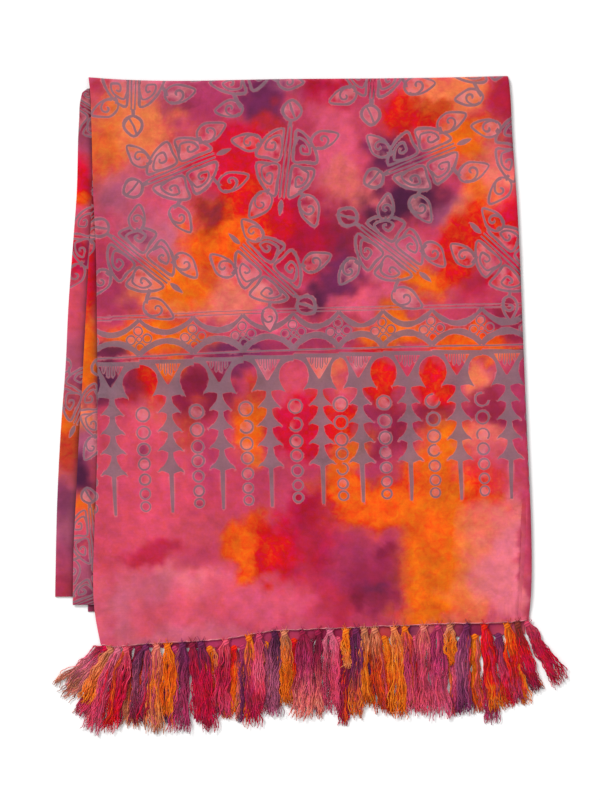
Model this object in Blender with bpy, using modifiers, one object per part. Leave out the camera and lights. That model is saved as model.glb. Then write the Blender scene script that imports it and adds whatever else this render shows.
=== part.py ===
"""A dip-dyed sarong with knotted fringes, folded in half along its length and then across, lying flat.

Metres, +Z up. The cloth rests on the plane z = 0. +Y points to the edge folded across, -Y to the fringe,
and +X to the long fold. The tables below are in millimetres, measured from the origin, which lies on
the rest plane near the middle of the folded cloth.
"""

import math
from typing import NamedTuple

import bmesh
import bpy
import numpy as np
from mathutils import Vector

MM = 0.001

# Thicknesses and heights, in millimetres
WALL = 1.5
SEAM_GAP = 0.3
STACK_TOP = 7.2
HEM_TOP = 3.6
UNDER_PLY_WALL = 1.7

# Where the front ply runs down off the shorter layers behind it, as y of the start and the end
SLOPE_START = -258.0
SLOPE_END = -316.0

# How far the front ply turns down at each edge, and over what width
TOP_TURN_DEPTH, TOP_TURN_RUN = 6.4, 6.0
FOLD_TURN_DEPTH, FOLD_TURN_RUN = 3.1, 4.0
LEFT_TURN_DEPTH, LEFT_TURN_RUN = 0.7, 6.0

# Knots of the fringe: width, length and the thickness in each row
KNOT_WIDTH = 8.6
KNOT_LENGTH = 9.4
KNOT_GAP = 0.4
LOCK_THICKNESS_RATIO = 0.56


class SidePoint(NamedTuple):
    """A point of an edge that runs along Y."""

    y: float
    x: float


class CrossPoint(NamedTuple):
    """A point of an edge that runs along X."""

    x: float
    y: float


class Crease(NamedTuple):
    """A soft ridge, or a trough where the height is below zero, along a straight line."""

    name: str
    x0: float
    y0: float
    x1: float
    y1: float
    half_width: float
    height: float


class BackLayer(NamedTuple):
    """One of the flat layers that show behind the front ply: its levels, its left edge and its insets."""

    name: str
    low: float
    high: float
    left_edge: tuple
    end_left: float
    end_right: float
    right_inset: float
    top_inset: float


class FringeRow(NamedTuple):
    """The heights of one row of tassels: knot middle and half thickness, and the locks' middles."""

    knot_z: float
    knot_half: float
    root_z: float
    belly_z: float
    tip_z: float


class Tassel(NamedTuple):
    """One knotted tassel: its row, root, tip, side bow, widest spread, spread at the tip and its locks."""

    row: str
    root_x: float
    tip_x: float
    tip_y: float
    bow: float
    belly: float
    tip: float
    locks: int
    yarn: str


FRONT_LEFT = (
    SidePoint(439, -301),
    SidePoint(423, -299),
    SidePoint(379, -297),
    SidePoint(283, -294.5),
    SidePoint(194, -290.5),
    SidePoint(121, -289.5),
    SidePoint(8, -288.5),
    SidePoint(-110, -290),
    SidePoint(-200, -293.5),
    SidePoint(-239, -294.5),
    SidePoint(-288, -292.5),
    SidePoint(-313, -288.5),
    SidePoint(-334, -284),
)
FRONT_RIGHT = (
    SidePoint(441, 265),
    SidePoint(428, 269.5),
    SidePoint(359, 274.5),
    SidePoint(268, 281.5),
    SidePoint(190, 285.5),
    SidePoint(99, 289),
    SidePoint(-56, 295.5),
    SidePoint(-140, 299.5),
    SidePoint(-189, 301),
    SidePoint(-270, 300),
    SidePoint(-299, 297.5),
)
FRONT_TOP = (
    CrossPoint(-302, 439),
    CrossPoint(-270, 436.5),
    CrossPoint(-238, 435),
    CrossPoint(-27, 436.5),
    CrossPoint(180, 438.5),
    CrossPoint(266, 440.5),
)
FRONT_HEM = (
    CrossPoint(-285, -333),
    CrossPoint(-268, -336),
    CrossPoint(-237, -333),
    CrossPoint(-150, -328),
    CrossPoint(-113, -324.5),
    CrossPoint(-52, -314.5),
    CrossPoint(14, -311.5),
    CrossPoint(86, -308.5),
    CrossPoint(186, -304.5),
    CrossPoint(275, -302),
    CrossPoint(298, -299),
)
UNDER_HEM = (
    CrossPoint(-285, -336),
    CrossPoint(-150, -337),
    CrossPoint(-106, -336.5),
    CrossPoint(-27, -327),
    CrossPoint(54, -324),
    CrossPoint(190, -322),
    CrossPoint(292, -318),
)

OUTER_LEFT = (
    SidePoint(423, -307),
    SidePoint(414, -310.5),
    SidePoint(379, -314),
    SidePoint(276, -317.5),
    SidePoint(209, -322.5),
    SidePoint(128, -328.5),
    SidePoint(52, -332),
    SidePoint(-43, -339),
    SidePoint(-132, -343.5),
    SidePoint(-261, -346.5),
)
INNER_LEFT = (
    SidePoint(423, -300),
    SidePoint(378, -297),
    SidePoint(239, -298),
    SidePoint(166, -302),
    SidePoint(91, -306),
    SidePoint(23, -309.5),
    SidePoint(-52, -314),
    SidePoint(-132, -318),
    SidePoint(-209, -321.5),
    SidePoint(-272, -322.5),
)
TUCKED_LEFT = (
    SidePoint(400, -290),
    SidePoint(0, -286),
    SidePoint(-230, -300),
    SidePoint(-282, -302),
)
BACK_LAYERS = (
    BackLayer("outer", 0.0, 2.1, OUTER_LEFT, -267.5, -262.0, 3.2, 9.0),
    BackLayer("tucked", 0.0, 1.7, TUCKED_LEFT, -288.0, -284.0, 5.0, 20.0),
    BackLayer("inner", 1.8, 3.9, INNER_LEFT, -279.0, -270.0, 4.6, 9.0),
)

CREASES = (
    Crease("right trough", 283, -205, 283, -306, 7.0, -1.0),
    Crease("right ridge", 291, -110, 291, -260, 6.0, 0.7),
    Crease("left band", -264, -262, -259, -330, 8.0, -0.8),
    Crease("left corner", -283, -300, -276, -324, 5.0, 0.7),
    Crease("low fold line", -120, -236, 40, -214, 9.0, 0.4),
    Crease("upper fold line", -60, 118, 170, 112, 10.0, 0.35),
    Crease("corner fold line", 150, 330, 262, 352, 9.0, 0.35),
)

FRINGE_ROWS = {
    "upper": FringeRow(4.05, 1.8, 4.3, 4.4, 3.7),
    "lower": FringeRow(1.25, 0.95, 1.35, 1.5, 1.2),
}

TASSELS = (
    Tassel("lower", -278, -339, -397, -6, 16, 24, 4, "tan_brown"),
    Tassel("upper", -271, -306, -412, -5, 15, 17, 4, "tan"),
    Tassel("lower", -265, -311, -430, -4, 14, 17, 4, "crimson"),
    Tassel("upper", -261, -296, -449, -5, 13, 16, 4, "mauve_pink"),
    Tassel("upper", -250, -273, -450, -4, 15, 18, 5, "crimson"),
    Tassel("lower", -245, -259, -434, -2, 14, 16, 4, "maroon"),
    Tassel("lower", -233, -246, -443, -2, 13, 16, 3, "ochre"),
    Tassel("upper", -223, -231, -439, -3, 18, 19, 5, "mauve_plum"),
    Tassel("upper", -208, -212, -450, -3, 15, 18, 4, "salmon"),
    Tassel("upper", -194, -197, -432, 2, 13, 13, 4, "orange"),
    Tassel("lower", -184, -192, -438, -1, 14, 16, 3, "magenta"),
    Tassel("upper", -173, -177, -450, -2, 15, 20, 5, "plum"),
    Tassel("upper", -160, -153, -437, 2, 12, 14, 4, "maroon_red"),
    Tassel("upper", -148, -137, -449, 3, 13, 17, 4, "plum_crimson"),
    Tassel("lower", -136, -131, -427, 2, 13, 15, 4, "orange_red"),
    Tassel("lower", -123, -119, -428, 2, 12, 14, 3, "maroon"),
    Tassel("upper", -114, -117, -430, -2, 14, 17, 5, "coral"),
    Tassel("lower", -103, -108, -431, 2, 13, 17, 4, "orange"),
    Tassel("lower", -91, -94, -435, 1, 11, 12, 3, "plum"),
    Tassel("upper", -83, -82, -442, 1, 13, 15, 4, "crimson_pink"),
    Tassel("upper", -69, -68, -424, 2, 13, 14, 4, "rose"),
    Tassel("lower", -60, -47, -418, 1, 12, 12, 3, "orange"),
    Tassel("upper", -48, -54, -427, -2, 14, 15, 4, "plum_mauve"),
    Tassel("upper", -35, -33, -415, 1, 14, 13, 4, "tan_orange"),
    Tassel("lower", -22, -26, -408, 0, 10, 10, 3, "orange_red"),
    Tassel("upper", -10, -15, -432, 1, 19, 20, 5, "maroon_pink"),
    Tassel("upper", 11, 10, -430, -2, 15, 18, 4, "maroon_brown"),
    Tassel("upper", 27, 30, -424, 1, 17, 21, 5, "dusty_rose"),
    Tassel("lower", 38, 35, -411, 0, 11, 12, 3, "coral_red"),
    Tassel("upper", 49, 50, -364, 0, 6, 4, 3, "orange"),
    Tassel("lower", 51, 45, -439, 1, 14, 15, 4, "dark_maroon"),
    Tassel("upper", 62, 64, -431, 0, 12, 13, 4, "plum"),
    Tassel("upper", 74, 73, -415, -1, 9, 10, 3, "tan"),
    Tassel("lower", 82, 80, -408, 1, 13, 14, 4, "dark_plum"),
    Tassel("upper", 88, 95, -423, 1, 14, 18, 5, "orange_brown"),
    Tassel("lower", 101, 105, -426, 1, 12, 13, 3, "orange"),
    Tassel("upper", 114, 117, -430, 4, 15, 17, 5, "light_orange"),
    Tassel("upper", 129, 137, -424, 2, 14, 16, 4, "magenta_pink"),
    Tassel("lower", 143, 149, -422, 0, 12, 14, 3, "coral_red"),
    Tassel("upper", 154, 159, -426, -3, 14, 18, 4, "salmon_rose"),
    Tassel("upper", 174, 181, -431, -3, 19, 21, 5, "magenta"),
    Tassel("upper", 190, 195, -359, -1, 11, 4, 4, "tan_orange"),
    Tassel("lower", 193, 198, -427, 2, 14, 16, 4, "magenta_pink"),
    Tassel("upper", 213, 212, -426, -4, 17, 21, 5, "plum"),
    Tassel("lower", 224, 231, -423, -3, 12, 13, 4, "orange"),
    Tassel("upper", 237, 256, -420, 2, 13, 16, 5, "orange_red"),
    Tassel("lower", 243, 246, -438, 2, 13, 12, 3, "maroon_red"),
    Tassel("lower", 256, 269, -415, 1, 11, 12, 3, "plum_rose"),
    Tassel("upper", 268, 282, -409, 1, 12, 13, 4, "orange_magenta"),
    Tassel("lower", 275, 295, -411, 0, 10, 13, 3, "tan"),
    Tassel("upper", 282, 311, -394, 1, 11, 14, 4, "red_maroon"),
    Tassel("upper", 295, 338, -386, 3, 15, 24, 5, "rose"),
)

YARN_COLOURS = {
    "tan_brown": (0.45, 0.22, 0.17),
    "tan": (0.66, 0.28, 0.13),
    "tan_orange": (0.76, 0.30, 0.09),
    "ochre": (0.60, 0.24, 0.06),
    "orange": (0.86, 0.25, 0.03),
    "light_orange": (0.88, 0.32, 0.08),
    "orange_brown": (0.66, 0.20, 0.05),
    "orange_red": (0.80, 0.16, 0.04),
    "orange_magenta": (0.72, 0.11, 0.06),
    "salmon": (0.78, 0.24, 0.14),
    "salmon_rose": (0.72, 0.19, 0.17),
    "coral": (0.74, 0.13, 0.13),
    "coral_red": (0.68, 0.10, 0.07),
    "crimson": (0.55, 0.03, 0.07),
    "crimson_pink": (0.60, 0.05, 0.11),
    "rose": (0.61, 0.09, 0.14),
    "dusty_rose": (0.47, 0.13, 0.14),
    "mauve_pink": (0.47, 0.12, 0.17),
    "magenta": (0.44, 0.03, 0.11),
    "magenta_pink": (0.56, 0.06, 0.16),
    "maroon": (0.26, 0.03, 0.06),
    "maroon_red": (0.34, 0.03, 0.06),
    "maroon_pink": (0.40, 0.06, 0.11),
    "maroon_brown": (0.30, 0.06, 0.06),
    "dark_maroon": (0.19, 0.02, 0.05),
    "red_maroon": (0.40, 0.03, 0.04),
    "plum": (0.20, 0.04, 0.13),
    "dark_plum": (0.13, 0.03, 0.09),
    "plum_crimson": (0.32, 0.03, 0.09),
    "plum_mauve": (0.29, 0.06, 0.14),
    "plum_rose": (0.35, 0.06, 0.13),
    "mauve_plum": (0.31, 0.06, 0.11),
}


def clear_scene():
    """Removes what the scene holds, so that the part stands alone."""
    for obj in list(bpy.data.objects):
        bpy.data.objects.remove(obj, do_unlink=True)


def new_collection(name):
    collection = bpy.data.collections.new(name)
    bpy.context.scene.collection.children.link(collection)
    return collection


def cloth_material(name, colour, roughness=0.85):
    material = bpy.data.materials.new(name)
    material.use_nodes = True
    shader = material.node_tree.nodes["Principled BSDF"]
    shader.inputs["Base Color"].default_value = (*colour, 1.0)
    shader.inputs["Roughness"].default_value = roughness
    shader.inputs["Metallic"].default_value = 0.0
    return material


def smooth_through(at, positions, values):
    """The value at a place on a smooth curve through the given points, whose positions rise."""
    slopes = np.gradient(values, positions)
    index = int(np.clip(np.searchsorted(positions, at) - 1, 0, len(positions) - 2))
    span = positions[index + 1] - positions[index]
    t = min(max((at - positions[index]) / span, 0.0), 1.0)
    keep, join = 2 * t**3 - 3 * t**2 + 1, -2 * t**3 + 3 * t**2
    leave, arrive = t**3 - 2 * t**2 + t, t**3 - t**2
    curve = keep * values[index] + join * values[index + 1]
    return curve + span * (leave * slopes[index] + arrive * slopes[index + 1])


def side_x(edge, y):
    """The x of an edge that runs along Y, at this y."""
    points = sorted(edge)
    return smooth_through(y, [p.y for p in points], [p.x for p in points])


def cross_y(edge, x):
    """The y of an edge that runs along X, at this x."""
    points = sorted(edge)
    return smooth_through(x, [p.x for p in points], [p.y for p in points])


def eased(value, start, end):
    """0 before start and 1 after end, with a soft step between them."""
    t = min(max((value - start) / (end - start), 0.0), 1.0)
    return t * t * (3.0 - 2.0 * t)


def turn_down(distance, run, depth):
    """How far a ply has turned down at this distance from its folded edge, along a quarter of an ellipse."""
    if distance >= run:
        return 0.0
    across = 1.0 - max(distance, 0.0) / run
    return depth * (1.0 - math.sqrt(1.0 - across**2))


def crease_height(x, y, troughs_only=False):
    """The relief that the creases give the cloth at this place."""
    height = 0.0
    for crease in CREASES:
        if troughs_only and crease.height > 0:
            continue
        start, end = Vector((crease.x0, crease.y0)), Vector((crease.x1, crease.y1))
        along = end - start
        t = min(max((Vector((x, y)) - start).dot(along) / along.length_squared, 0.0), 1.0)
        away = (Vector((x, y)) - start - along * t).length
        height += crease.height * math.exp(-((away / crease.half_width) ** 2))
    return height


def plateau(y):
    """The height of the front ply's outer face before creases and turned edges."""
    return STACK_TOP - (STACK_TOP - HEM_TOP) * eased(-y, -SLOPE_START, -SLOPE_END)


def panel_place(u, v, hem, inset_left, inset_right, inset_top):
    """The x and y of a panel's point from its fractions: u from left to right and v from top to hem."""
    middle = 400.0 - 720.0 * v
    rough_x = side_x(FRONT_LEFT, middle) * (1.0 - u) + side_x(FRONT_RIGHT, middle) * u
    y = (cross_y(FRONT_TOP, rough_x) - inset_top) * (1.0 - v) + cross_y(hem, rough_x) * v
    left = side_x(FRONT_LEFT, y) + inset_left
    right = side_x(FRONT_RIGHT, y) - inset_right
    return left * (1.0 - u) + right * u, y


def front_height(x, y):
    """The outer face of the front ply: the plateau, its creases and its turned edges."""
    from_top = cross_y(FRONT_TOP, x) - y
    from_right = side_x(FRONT_RIGHT, y) - x
    from_left = x - side_x(FRONT_LEFT, y)
    top = turn_down(from_top, TOP_TURN_RUN, TOP_TURN_DEPTH)
    right = turn_down(from_right, FOLD_TURN_RUN, FOLD_TURN_DEPTH)
    left = turn_down(from_left, LEFT_TURN_RUN, LEFT_TURN_DEPTH)
    turned = min(math.hypot(top, right, left), TOP_TURN_DEPTH)
    flat_part = eased(min(from_top, from_right, from_left), 0.0, 12.0)
    return plateau(y) + crease_height(x, y) * flat_part - turned


def fractions(near_start, near_end, inner, length):
    """Fractions from 0 to 1 with the given distances kept at each end and even steps between them."""
    first = [distance / length for distance in near_start]
    last = [1.0 - distance / length for distance in reversed(near_end)]
    between = np.linspace(first[-1], last[0], inner + 2)[1:-1]
    return [*first, *between, *last]


def shaped_grid(name, columns, rows, place, collection):
    """A grid whose points are moved to place(u, v), with u from the left and v from the top."""
    bpy.ops.mesh.primitive_grid_add(
        x_subdivisions=len(columns) - 1, y_subdivisions=len(rows) - 1, size=2.0
    )
    panel = bpy.context.active_object
    panel.name = name
    panel.data.name = name
    for vertex in panel.data.vertices:
        column = round((vertex.co.x + 1.0) / 2.0 * (len(columns) - 1))
        row = round((1.0 - vertex.co.y) / 2.0 * (len(rows) - 1))
        vertex.co = Vector(place(columns[column], rows[row])) * MM
    for other in panel.users_collection:
        other.objects.unlink(panel)
    collection.objects.link(panel)
    return panel


def make_front_panel(collection):
    """The ply that faces up, a wall that turns down over both folds."""
    columns = fractions((0, 2, 6, 14), (0, 0.4, 1.2, 2.4, 4.2, 10, 22), 21, 585.0)
    rows = fractions((0, 0.5, 1.5, 3.2, 6.2), (0, 8, 18, 32, 46, 62), 13, 765.0)

    def place(u, v):
        x, y = panel_place(u, v, FRONT_HEM, 0.0, 0.0, 0.0)
        return x, y, front_height(x, y)

    panel = shaped_grid("front_panel", columns, rows, place, collection)
    wall = panel.modifiers.new("Cloth wall", "SOLIDIFY")
    wall.thickness = WALL * MM
    wall.offset = -1.0
    panel.data.shade_smooth()
    panel.data.materials.append(cloth_material("dyed cloth", (0.72, 0.13, 0.12)))
    return panel


def layer_outline(layer):
    """The points round a flat layer, starting at its top left corner and going down its left side."""
    top_y = cross_y(FRONT_TOP, 0.0) - layer.top_inset
    left = [(p.x, p.y) for p in layer.left_edge if p.y < top_y - 4.0]
    right_ys = (layer.end_right + 4.0, -150.0, 0.0, 190.0, 330.0, top_y - 4.0)
    right = [(side_x(FRONT_RIGHT, y) - layer.right_inset, y) for y in right_ys]
    corner_x = left[-1][0]
    end = [(corner_x + 1.5, layer.end_left), (right[0][0] - 4.0, layer.end_right)]
    top = [(right[-1][0] - 4.0, top_y), (left[0][0] + 4.0, top_y)]
    return left + end + right + top


def make_flat_layer(layer, helpers):
    """A flat sheet with rounded edges: a 2D outline with an extrusion and a bevel, made a mesh."""
    half = (layer.high - layer.low) / 2.0
    bevel = half * 0.9
    curve = bpy.data.curves.new(layer.name, "CURVE")
    curve.dimensions = "2D"
    curve.fill_mode = "BOTH"
    curve.extrude = (half - bevel) * MM
    curve.bevel_depth = bevel * MM
    curve.bevel_resolution = 1
    curve.offset = -bevel * MM
    outline = layer_outline(layer)
    spline = curve.splines.new("POLY")
    spline.points.add(len(outline) - 1)
    for point, (x, y) in zip(spline.points, outline):
        point.co = (x * MM, y * MM, 0.0, 1.0)
    spline.use_cyclic_u = True
    guide = bpy.data.objects.new(layer.name, curve)
    guide.location.z = (layer.low + layer.high) / 2.0 * MM
    helpers.objects.link(guide)
    return mesh_from_curve(guide, helpers)


def mesh_from_curve(guide, collection):
    """The curve's evaluated shape as a mesh object with its caps welded. The curve is removed."""
    bpy.context.view_layer.update()
    graph = bpy.context.evaluated_depsgraph_get()
    mesh = bpy.data.meshes.new_from_object(guide.evaluated_get(graph))
    shape = bmesh.new()
    shape.from_mesh(mesh)
    bmesh.ops.remove_doubles(shape, verts=shape.verts, dist=1e-6)
    bmesh.ops.recalc_face_normals(shape, faces=shape.faces)
    shape.to_mesh(mesh)
    shape.free()
    solid = bpy.data.objects.new(guide.name + "_solid", mesh)
    solid.matrix_world = guide.matrix_world
    collection.objects.link(solid)
    bpy.data.objects.remove(guide, do_unlink=True)
    return solid


def hide_helper(obj):
    obj.hide_render = True
    obj.display_type = "WIRE"


def join_solid(body, other):
    """Adds a union with the other solid, which becomes a helper."""
    union = body.modifiers.new("With " + other.name, "BOOLEAN")
    union.operation = "UNION"
    union.solver = "EXACT"
    union.object = other
    hide_helper(other)


def apply_modifiers(obj):
    """Makes the evaluated shape the object's own mesh."""
    bpy.context.view_layer.update()
    graph = bpy.context.evaluated_depsgraph_get()
    mesh = bpy.data.meshes.new_from_object(obj.evaluated_get(graph))
    obj.modifiers.clear()
    obj.data = mesh


def make_folded_layers(collection, helpers):
    """The hidden plies as one solid: the front ply's other half on top of the layers folded behind."""
    columns = fractions((0, 12), (0, 8, 22), 19, 580.0)
    rows = fractions((0, 20), (0, 10, 24, 38, 52, 70), 9, 765.0)

    def place(u, v):
        x, y = panel_place(u, v, UNDER_HEM, 4.5, 5.2, 8.0)
        height = plateau(y) + crease_height(x, y, troughs_only=True) - WALL - 2.0 * SEAM_GAP
        return x, y, height

    layers = shaped_grid("folded_layers", columns, rows, place, collection)
    wall = layers.modifiers.new("Cloth wall", "SOLIDIFY")
    wall.thickness = UNDER_PLY_WALL * MM
    wall.offset = -1.0
    apply_modifiers(layers)
    for vertex in layers.data.vertices:
        if vertex.co.y < SLOPE_START * MM and vertex.co.z < 0.4 * MM:
            vertex.co.z = 0.0
    for layer in BACK_LAYERS:
        join_solid(layers, make_flat_layer(layer, helpers))
    layers.data.materials.clear()
    layers.data.materials.append(cloth_material("dyed cloth underside", (0.42, 0.09, 0.16)))
    return layers


def root_y(tassel):
    """The middle of the knot, just clear of the hem that it is tied to."""
    hem = FRONT_HEM if tassel.row == "upper" else UNDER_HEM
    return cross_y(hem, tassel.root_x) - KNOT_GAP - KNOT_LENGTH / 2.0


def tassel_middle(tassel, t):
    """The middle line of a tassel, from its knot at t = 0 to its tips at t = 1."""
    start = Vector((tassel.root_x, root_y(tassel)))
    end = Vector((tassel.tip_x, tassel.tip_y))
    way = end - start
    fall = start + Vector((way.x * (0.55 * t + 0.45 * t * t), way.y * t))
    side = Vector((-way.y, way.x)).normalized()
    return fall + side * (tassel.bow * math.sin(math.pi * t))


def room_beside(tassel, t):
    """Half the distance to the nearest tassel of the same row, less half the gap between them."""
    here = tassel_middle(tassel, t)
    others = [other for other in TASSELS if other.row == tassel.row and other is not tassel]
    steps = np.linspace(0.0, 1.0, 13)
    nearest = min((tassel_middle(other, s) - here).length for other in others for s in steps)
    return nearest / 2.0 - SEAM_GAP


def half_spread(tassel, t):
    """Half the tassel's width: narrow at the knot, full at the belly and at the tips as the table says."""
    root = KNOT_WIDTH * 0.33
    if t < 0.5:
        wanted = root + (tassel.belly / 2.0 - root) * math.sin(math.pi * t)
    else:
        wanted = tassel.belly / 2.0 + (tassel.tip - tassel.belly) / 2.0 * eased(t, 0.5, 1.0)
    return min(wanted, room_beside(tassel, t))


def lock_profile(helpers):
    """The flat three-sided section of a lock, one millimetre wide."""
    curve = bpy.data.curves.new("lock_profile", "CURVE")
    curve.dimensions = "2D"
    spline = curve.splines.new("POLY")
    spline.points.add(2)
    half = 0.5 * MM
    rise = half * LOCK_THICKNESS_RATIO
    corners = ((-half, -rise), (half, -rise), (0.0, rise))
    for point, (x, y) in zip(spline.points, corners):
        point.co = (x, y, 0.0, 1.0)
    spline.use_cyclic_u = True
    profile = bpy.data.objects.new("lock_profile", curve)
    helpers.objects.link(profile)
    hide_helper(profile)
    return profile


def make_locks(name, tassel, profile, helpers):
    """The tassel's locks, side by side and apart, each a tapering curve that starts inside the knot."""
    row = FRINGE_ROWS[tassel.row]
    curve = bpy.data.curves.new(name + "_locks", "CURVE")
    curve.dimensions = "3D"
    curve.twist_mode = "Z_UP"
    curve.bevel_mode = "OBJECT"
    curve.bevel_object = profile
    curve.use_fill_caps = True
    places = (0.0, 0.14, 0.42, 0.74, 1.0)
    fullness = (0.72, 0.80, 0.88, 0.84, 0.46)
    heights = (row.root_z, row.root_z, row.belly_z, row.belly_z, row.tip_z)
    for lock in range(tassel.locks):
        across = (2 * lock + 1) / tassel.locks - 1.0
        spline = curve.splines.new("POLY")
        spline.points.add(len(places) - 1)
        for point, t, full, z in zip(spline.points, places, fullness, heights):
            spread = half_spread(tassel, t)
            ahead = tassel_middle(tassel, t + 0.01) - tassel_middle(tassel, t - 0.01)
            side = Vector((-ahead.y, ahead.x)).normalized()
            sway = 0.12 * spread / tassel.locks * math.sin(9.0 * t + 2.3 * lock)
            centre = tassel_middle(tassel, t) + side * (across * spread + sway)
            if t == 1.0:
                centre += ahead.normalized() * (2.5 * math.sin(1.9 * lock + tassel.root_x))
            point.co = (centre.x * MM, centre.y * MM, z * MM, 1.0)
            point.radius = 2.0 * spread / tassel.locks * full
    guide = bpy.data.objects.new(name + "_locks", curve)
    helpers.objects.link(guide)
    return mesh_from_curve(guide, helpers)


def make_tassel(number, tassel, profile, collection, helpers):
    """A flattened knot with its locks fused to it."""
    row = FRINGE_ROWS[tassel.row]
    name = f"tassel_{number:02d}"
    bpy.ops.mesh.primitive_uv_sphere_add(segments=8, ring_count=5, radius=1.0)
    knot = bpy.context.active_object
    knot.name = name
    knot.data.name = name
    half_size = Vector((KNOT_WIDTH / 2.0, KNOT_LENGTH / 2.0, row.knot_half))
    middle = Vector((tassel.root_x, root_y(tassel), row.knot_z))
    for vertex in knot.data.vertices:
        vertex.co = (middle + vertex.co * half_size) * MM
    for other in knot.users_collection:
        other.objects.unlink(knot)
    collection.objects.link(knot)
    locks = make_locks(name, tassel, profile, helpers)
    join_solid(knot, locks)
    knot.data.materials.append(cloth_material(name + " yarn", YARN_COLOURS[tassel.yarn]))
    return knot


def main():
    clear_scene()
    sarong = new_collection("sarong")
    helpers = new_collection("cutters")
    make_front_panel(sarong)
    make_folded_layers(sarong, helpers)
    profile = lock_profile(helpers)
    for number, tassel in enumerate(sorted(TASSELS, key=lambda one: one.root_x), start=1):
        make_tassel(number, tassel, profile, sarong, helpers)


if __name__ == "__main__":
    main()
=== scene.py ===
"""Dresses the folded sarong: dip-dyed and wax-printed rayon in plies, with knotted yarn along the hem."""
import logging
import math
from dataclasses import dataclass, field
from enum import Enum, IntEnum
from typing import NamedTuple, Optional, Sequence

import bpy
import numpy as np
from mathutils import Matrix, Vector
from mathutils.geometry import delaunay_2d_cdt


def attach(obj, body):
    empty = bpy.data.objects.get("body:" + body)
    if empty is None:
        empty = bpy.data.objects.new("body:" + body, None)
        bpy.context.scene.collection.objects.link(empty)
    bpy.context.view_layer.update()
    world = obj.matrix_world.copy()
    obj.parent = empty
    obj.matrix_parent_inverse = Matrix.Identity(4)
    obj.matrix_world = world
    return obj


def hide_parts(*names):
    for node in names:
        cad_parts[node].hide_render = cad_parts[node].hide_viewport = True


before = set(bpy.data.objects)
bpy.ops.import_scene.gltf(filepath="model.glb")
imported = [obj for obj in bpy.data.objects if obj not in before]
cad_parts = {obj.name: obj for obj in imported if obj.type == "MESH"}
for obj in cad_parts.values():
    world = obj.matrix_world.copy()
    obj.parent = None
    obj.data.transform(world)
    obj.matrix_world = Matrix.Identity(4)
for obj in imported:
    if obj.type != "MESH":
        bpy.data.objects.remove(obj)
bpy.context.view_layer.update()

MM = 0.001
ROOT = "root"
VIEW_WIDTH = 600
VIEW_HEIGHT = 800
MM_PER_SPOT = 1.36
ORIGIN_ACROSS = 310.0
ORIGIN_DOWN = 400.0
DYE_LAYER = "dye"
DEPTH_OF_DYE = 0.84
TUBE_TURNS = (0.5, 2.594, 4.689)
TOP_Y = 430.0
HEM_Y = -310.0
SHARP_CREASES = 3
CREASE_POINTS = 36


def spot(across: float, down: float) -> complex:
    """The place on the cloth, x + iy in millimetres, of a place in the 600 x 800 view."""
    return complex((across - ORIGIN_ACROSS) * MM_PER_SPOT, (ORIGIN_DOWN - down) * MM_PER_SPOT)


def eased(value: np.ndarray, start: float, end: float) -> np.ndarray:
    """A soft step from 0 at the start to 1 at the end."""
    t = np.clip((value - start) / (end - start), 0.0, 1.0)
    return t * t * (3.0 - 2.0 * t)


def cloud(x: np.ndarray, y: np.ndarray, size: float, seed: int, octaves: int = 3) -> np.ndarray:
    """Soft, repeatable noise over a plane.

    Args:
        x: Places across, in millimetres.
        y: Places along, in millimetres.
        size: Width of the largest lumps, in millimetres.
        seed: Which pattern.
        octaves: How many finer layers are added.

    Returns:
        Numbers from about -1 to 1.
    """
    cells = 64
    knots = np.random.default_rng(seed).uniform(-1.0, 1.0, (cells, cells))
    total = np.zeros_like(x, dtype=float)
    share, reach = 1.0, size
    for octave in range(octaves):
        u, v = x / reach + 17.3 * octave, y / reach - 9.1 * octave
        column, row = np.floor(u).astype(int), np.floor(v).astype(int)
        a, b = u - column, v - row
        a, b = a * a * (3.0 - 2.0 * a), b * b * (3.0 - 2.0 * b)
        left, right = column % cells, (column + 1) % cells
        low, high = row % cells, (row + 1) % cells
        near, far = (knots[line, left] * (1 - a) + knots[line, right] * a for line in (low, high))
        total += share * (near * (1 - b) + far * b)
        share, reach = share * 0.5, reach * 0.47
    return total


@dataclass(frozen=True)
class EdgeCurve:
    """A smooth edge through points, each a place along it and its offset there.

    Attributes:
        points: Pairs of place and offset, in any order.
    """

    points: tuple[tuple[float, float], ...]

    def at(self, where: np.ndarray) -> np.ndarray:
        """The offsets at the given places.

        Args:
            where: Places along the edge.

        Returns:
            The edge's offset at each place.
        """
        places, offsets = (np.array(column, dtype=float) for column in zip(*sorted(self.points)))
        slopes = np.gradient(offsets, places)
        index = np.clip(np.searchsorted(places, where) - 1, 0, len(places) - 2)
        span = places[index + 1] - places[index]
        t = np.clip((where - places[index]) / span, 0.0, 1.0)
        curve = (2 * t**3 - 3 * t**2 + 1) * offsets[index] + (3 * t**2 - 2 * t**3) * offsets[index + 1]
        return curve + span * ((t**3 - 2 * t**2 + t) * slopes[index] + (t**3 - t**2) * slopes[index + 1])

    def one(self, where: float) -> float:
        """The offset at one place."""
        return float(self.at(np.array([where]))[0])

    def shifted(self, by: float) -> "EdgeCurve":
        """The edge moved aside by so many millimetres."""
        return EdgeCurve(tuple((place, offset + by) for place, offset in self.points))


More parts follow.
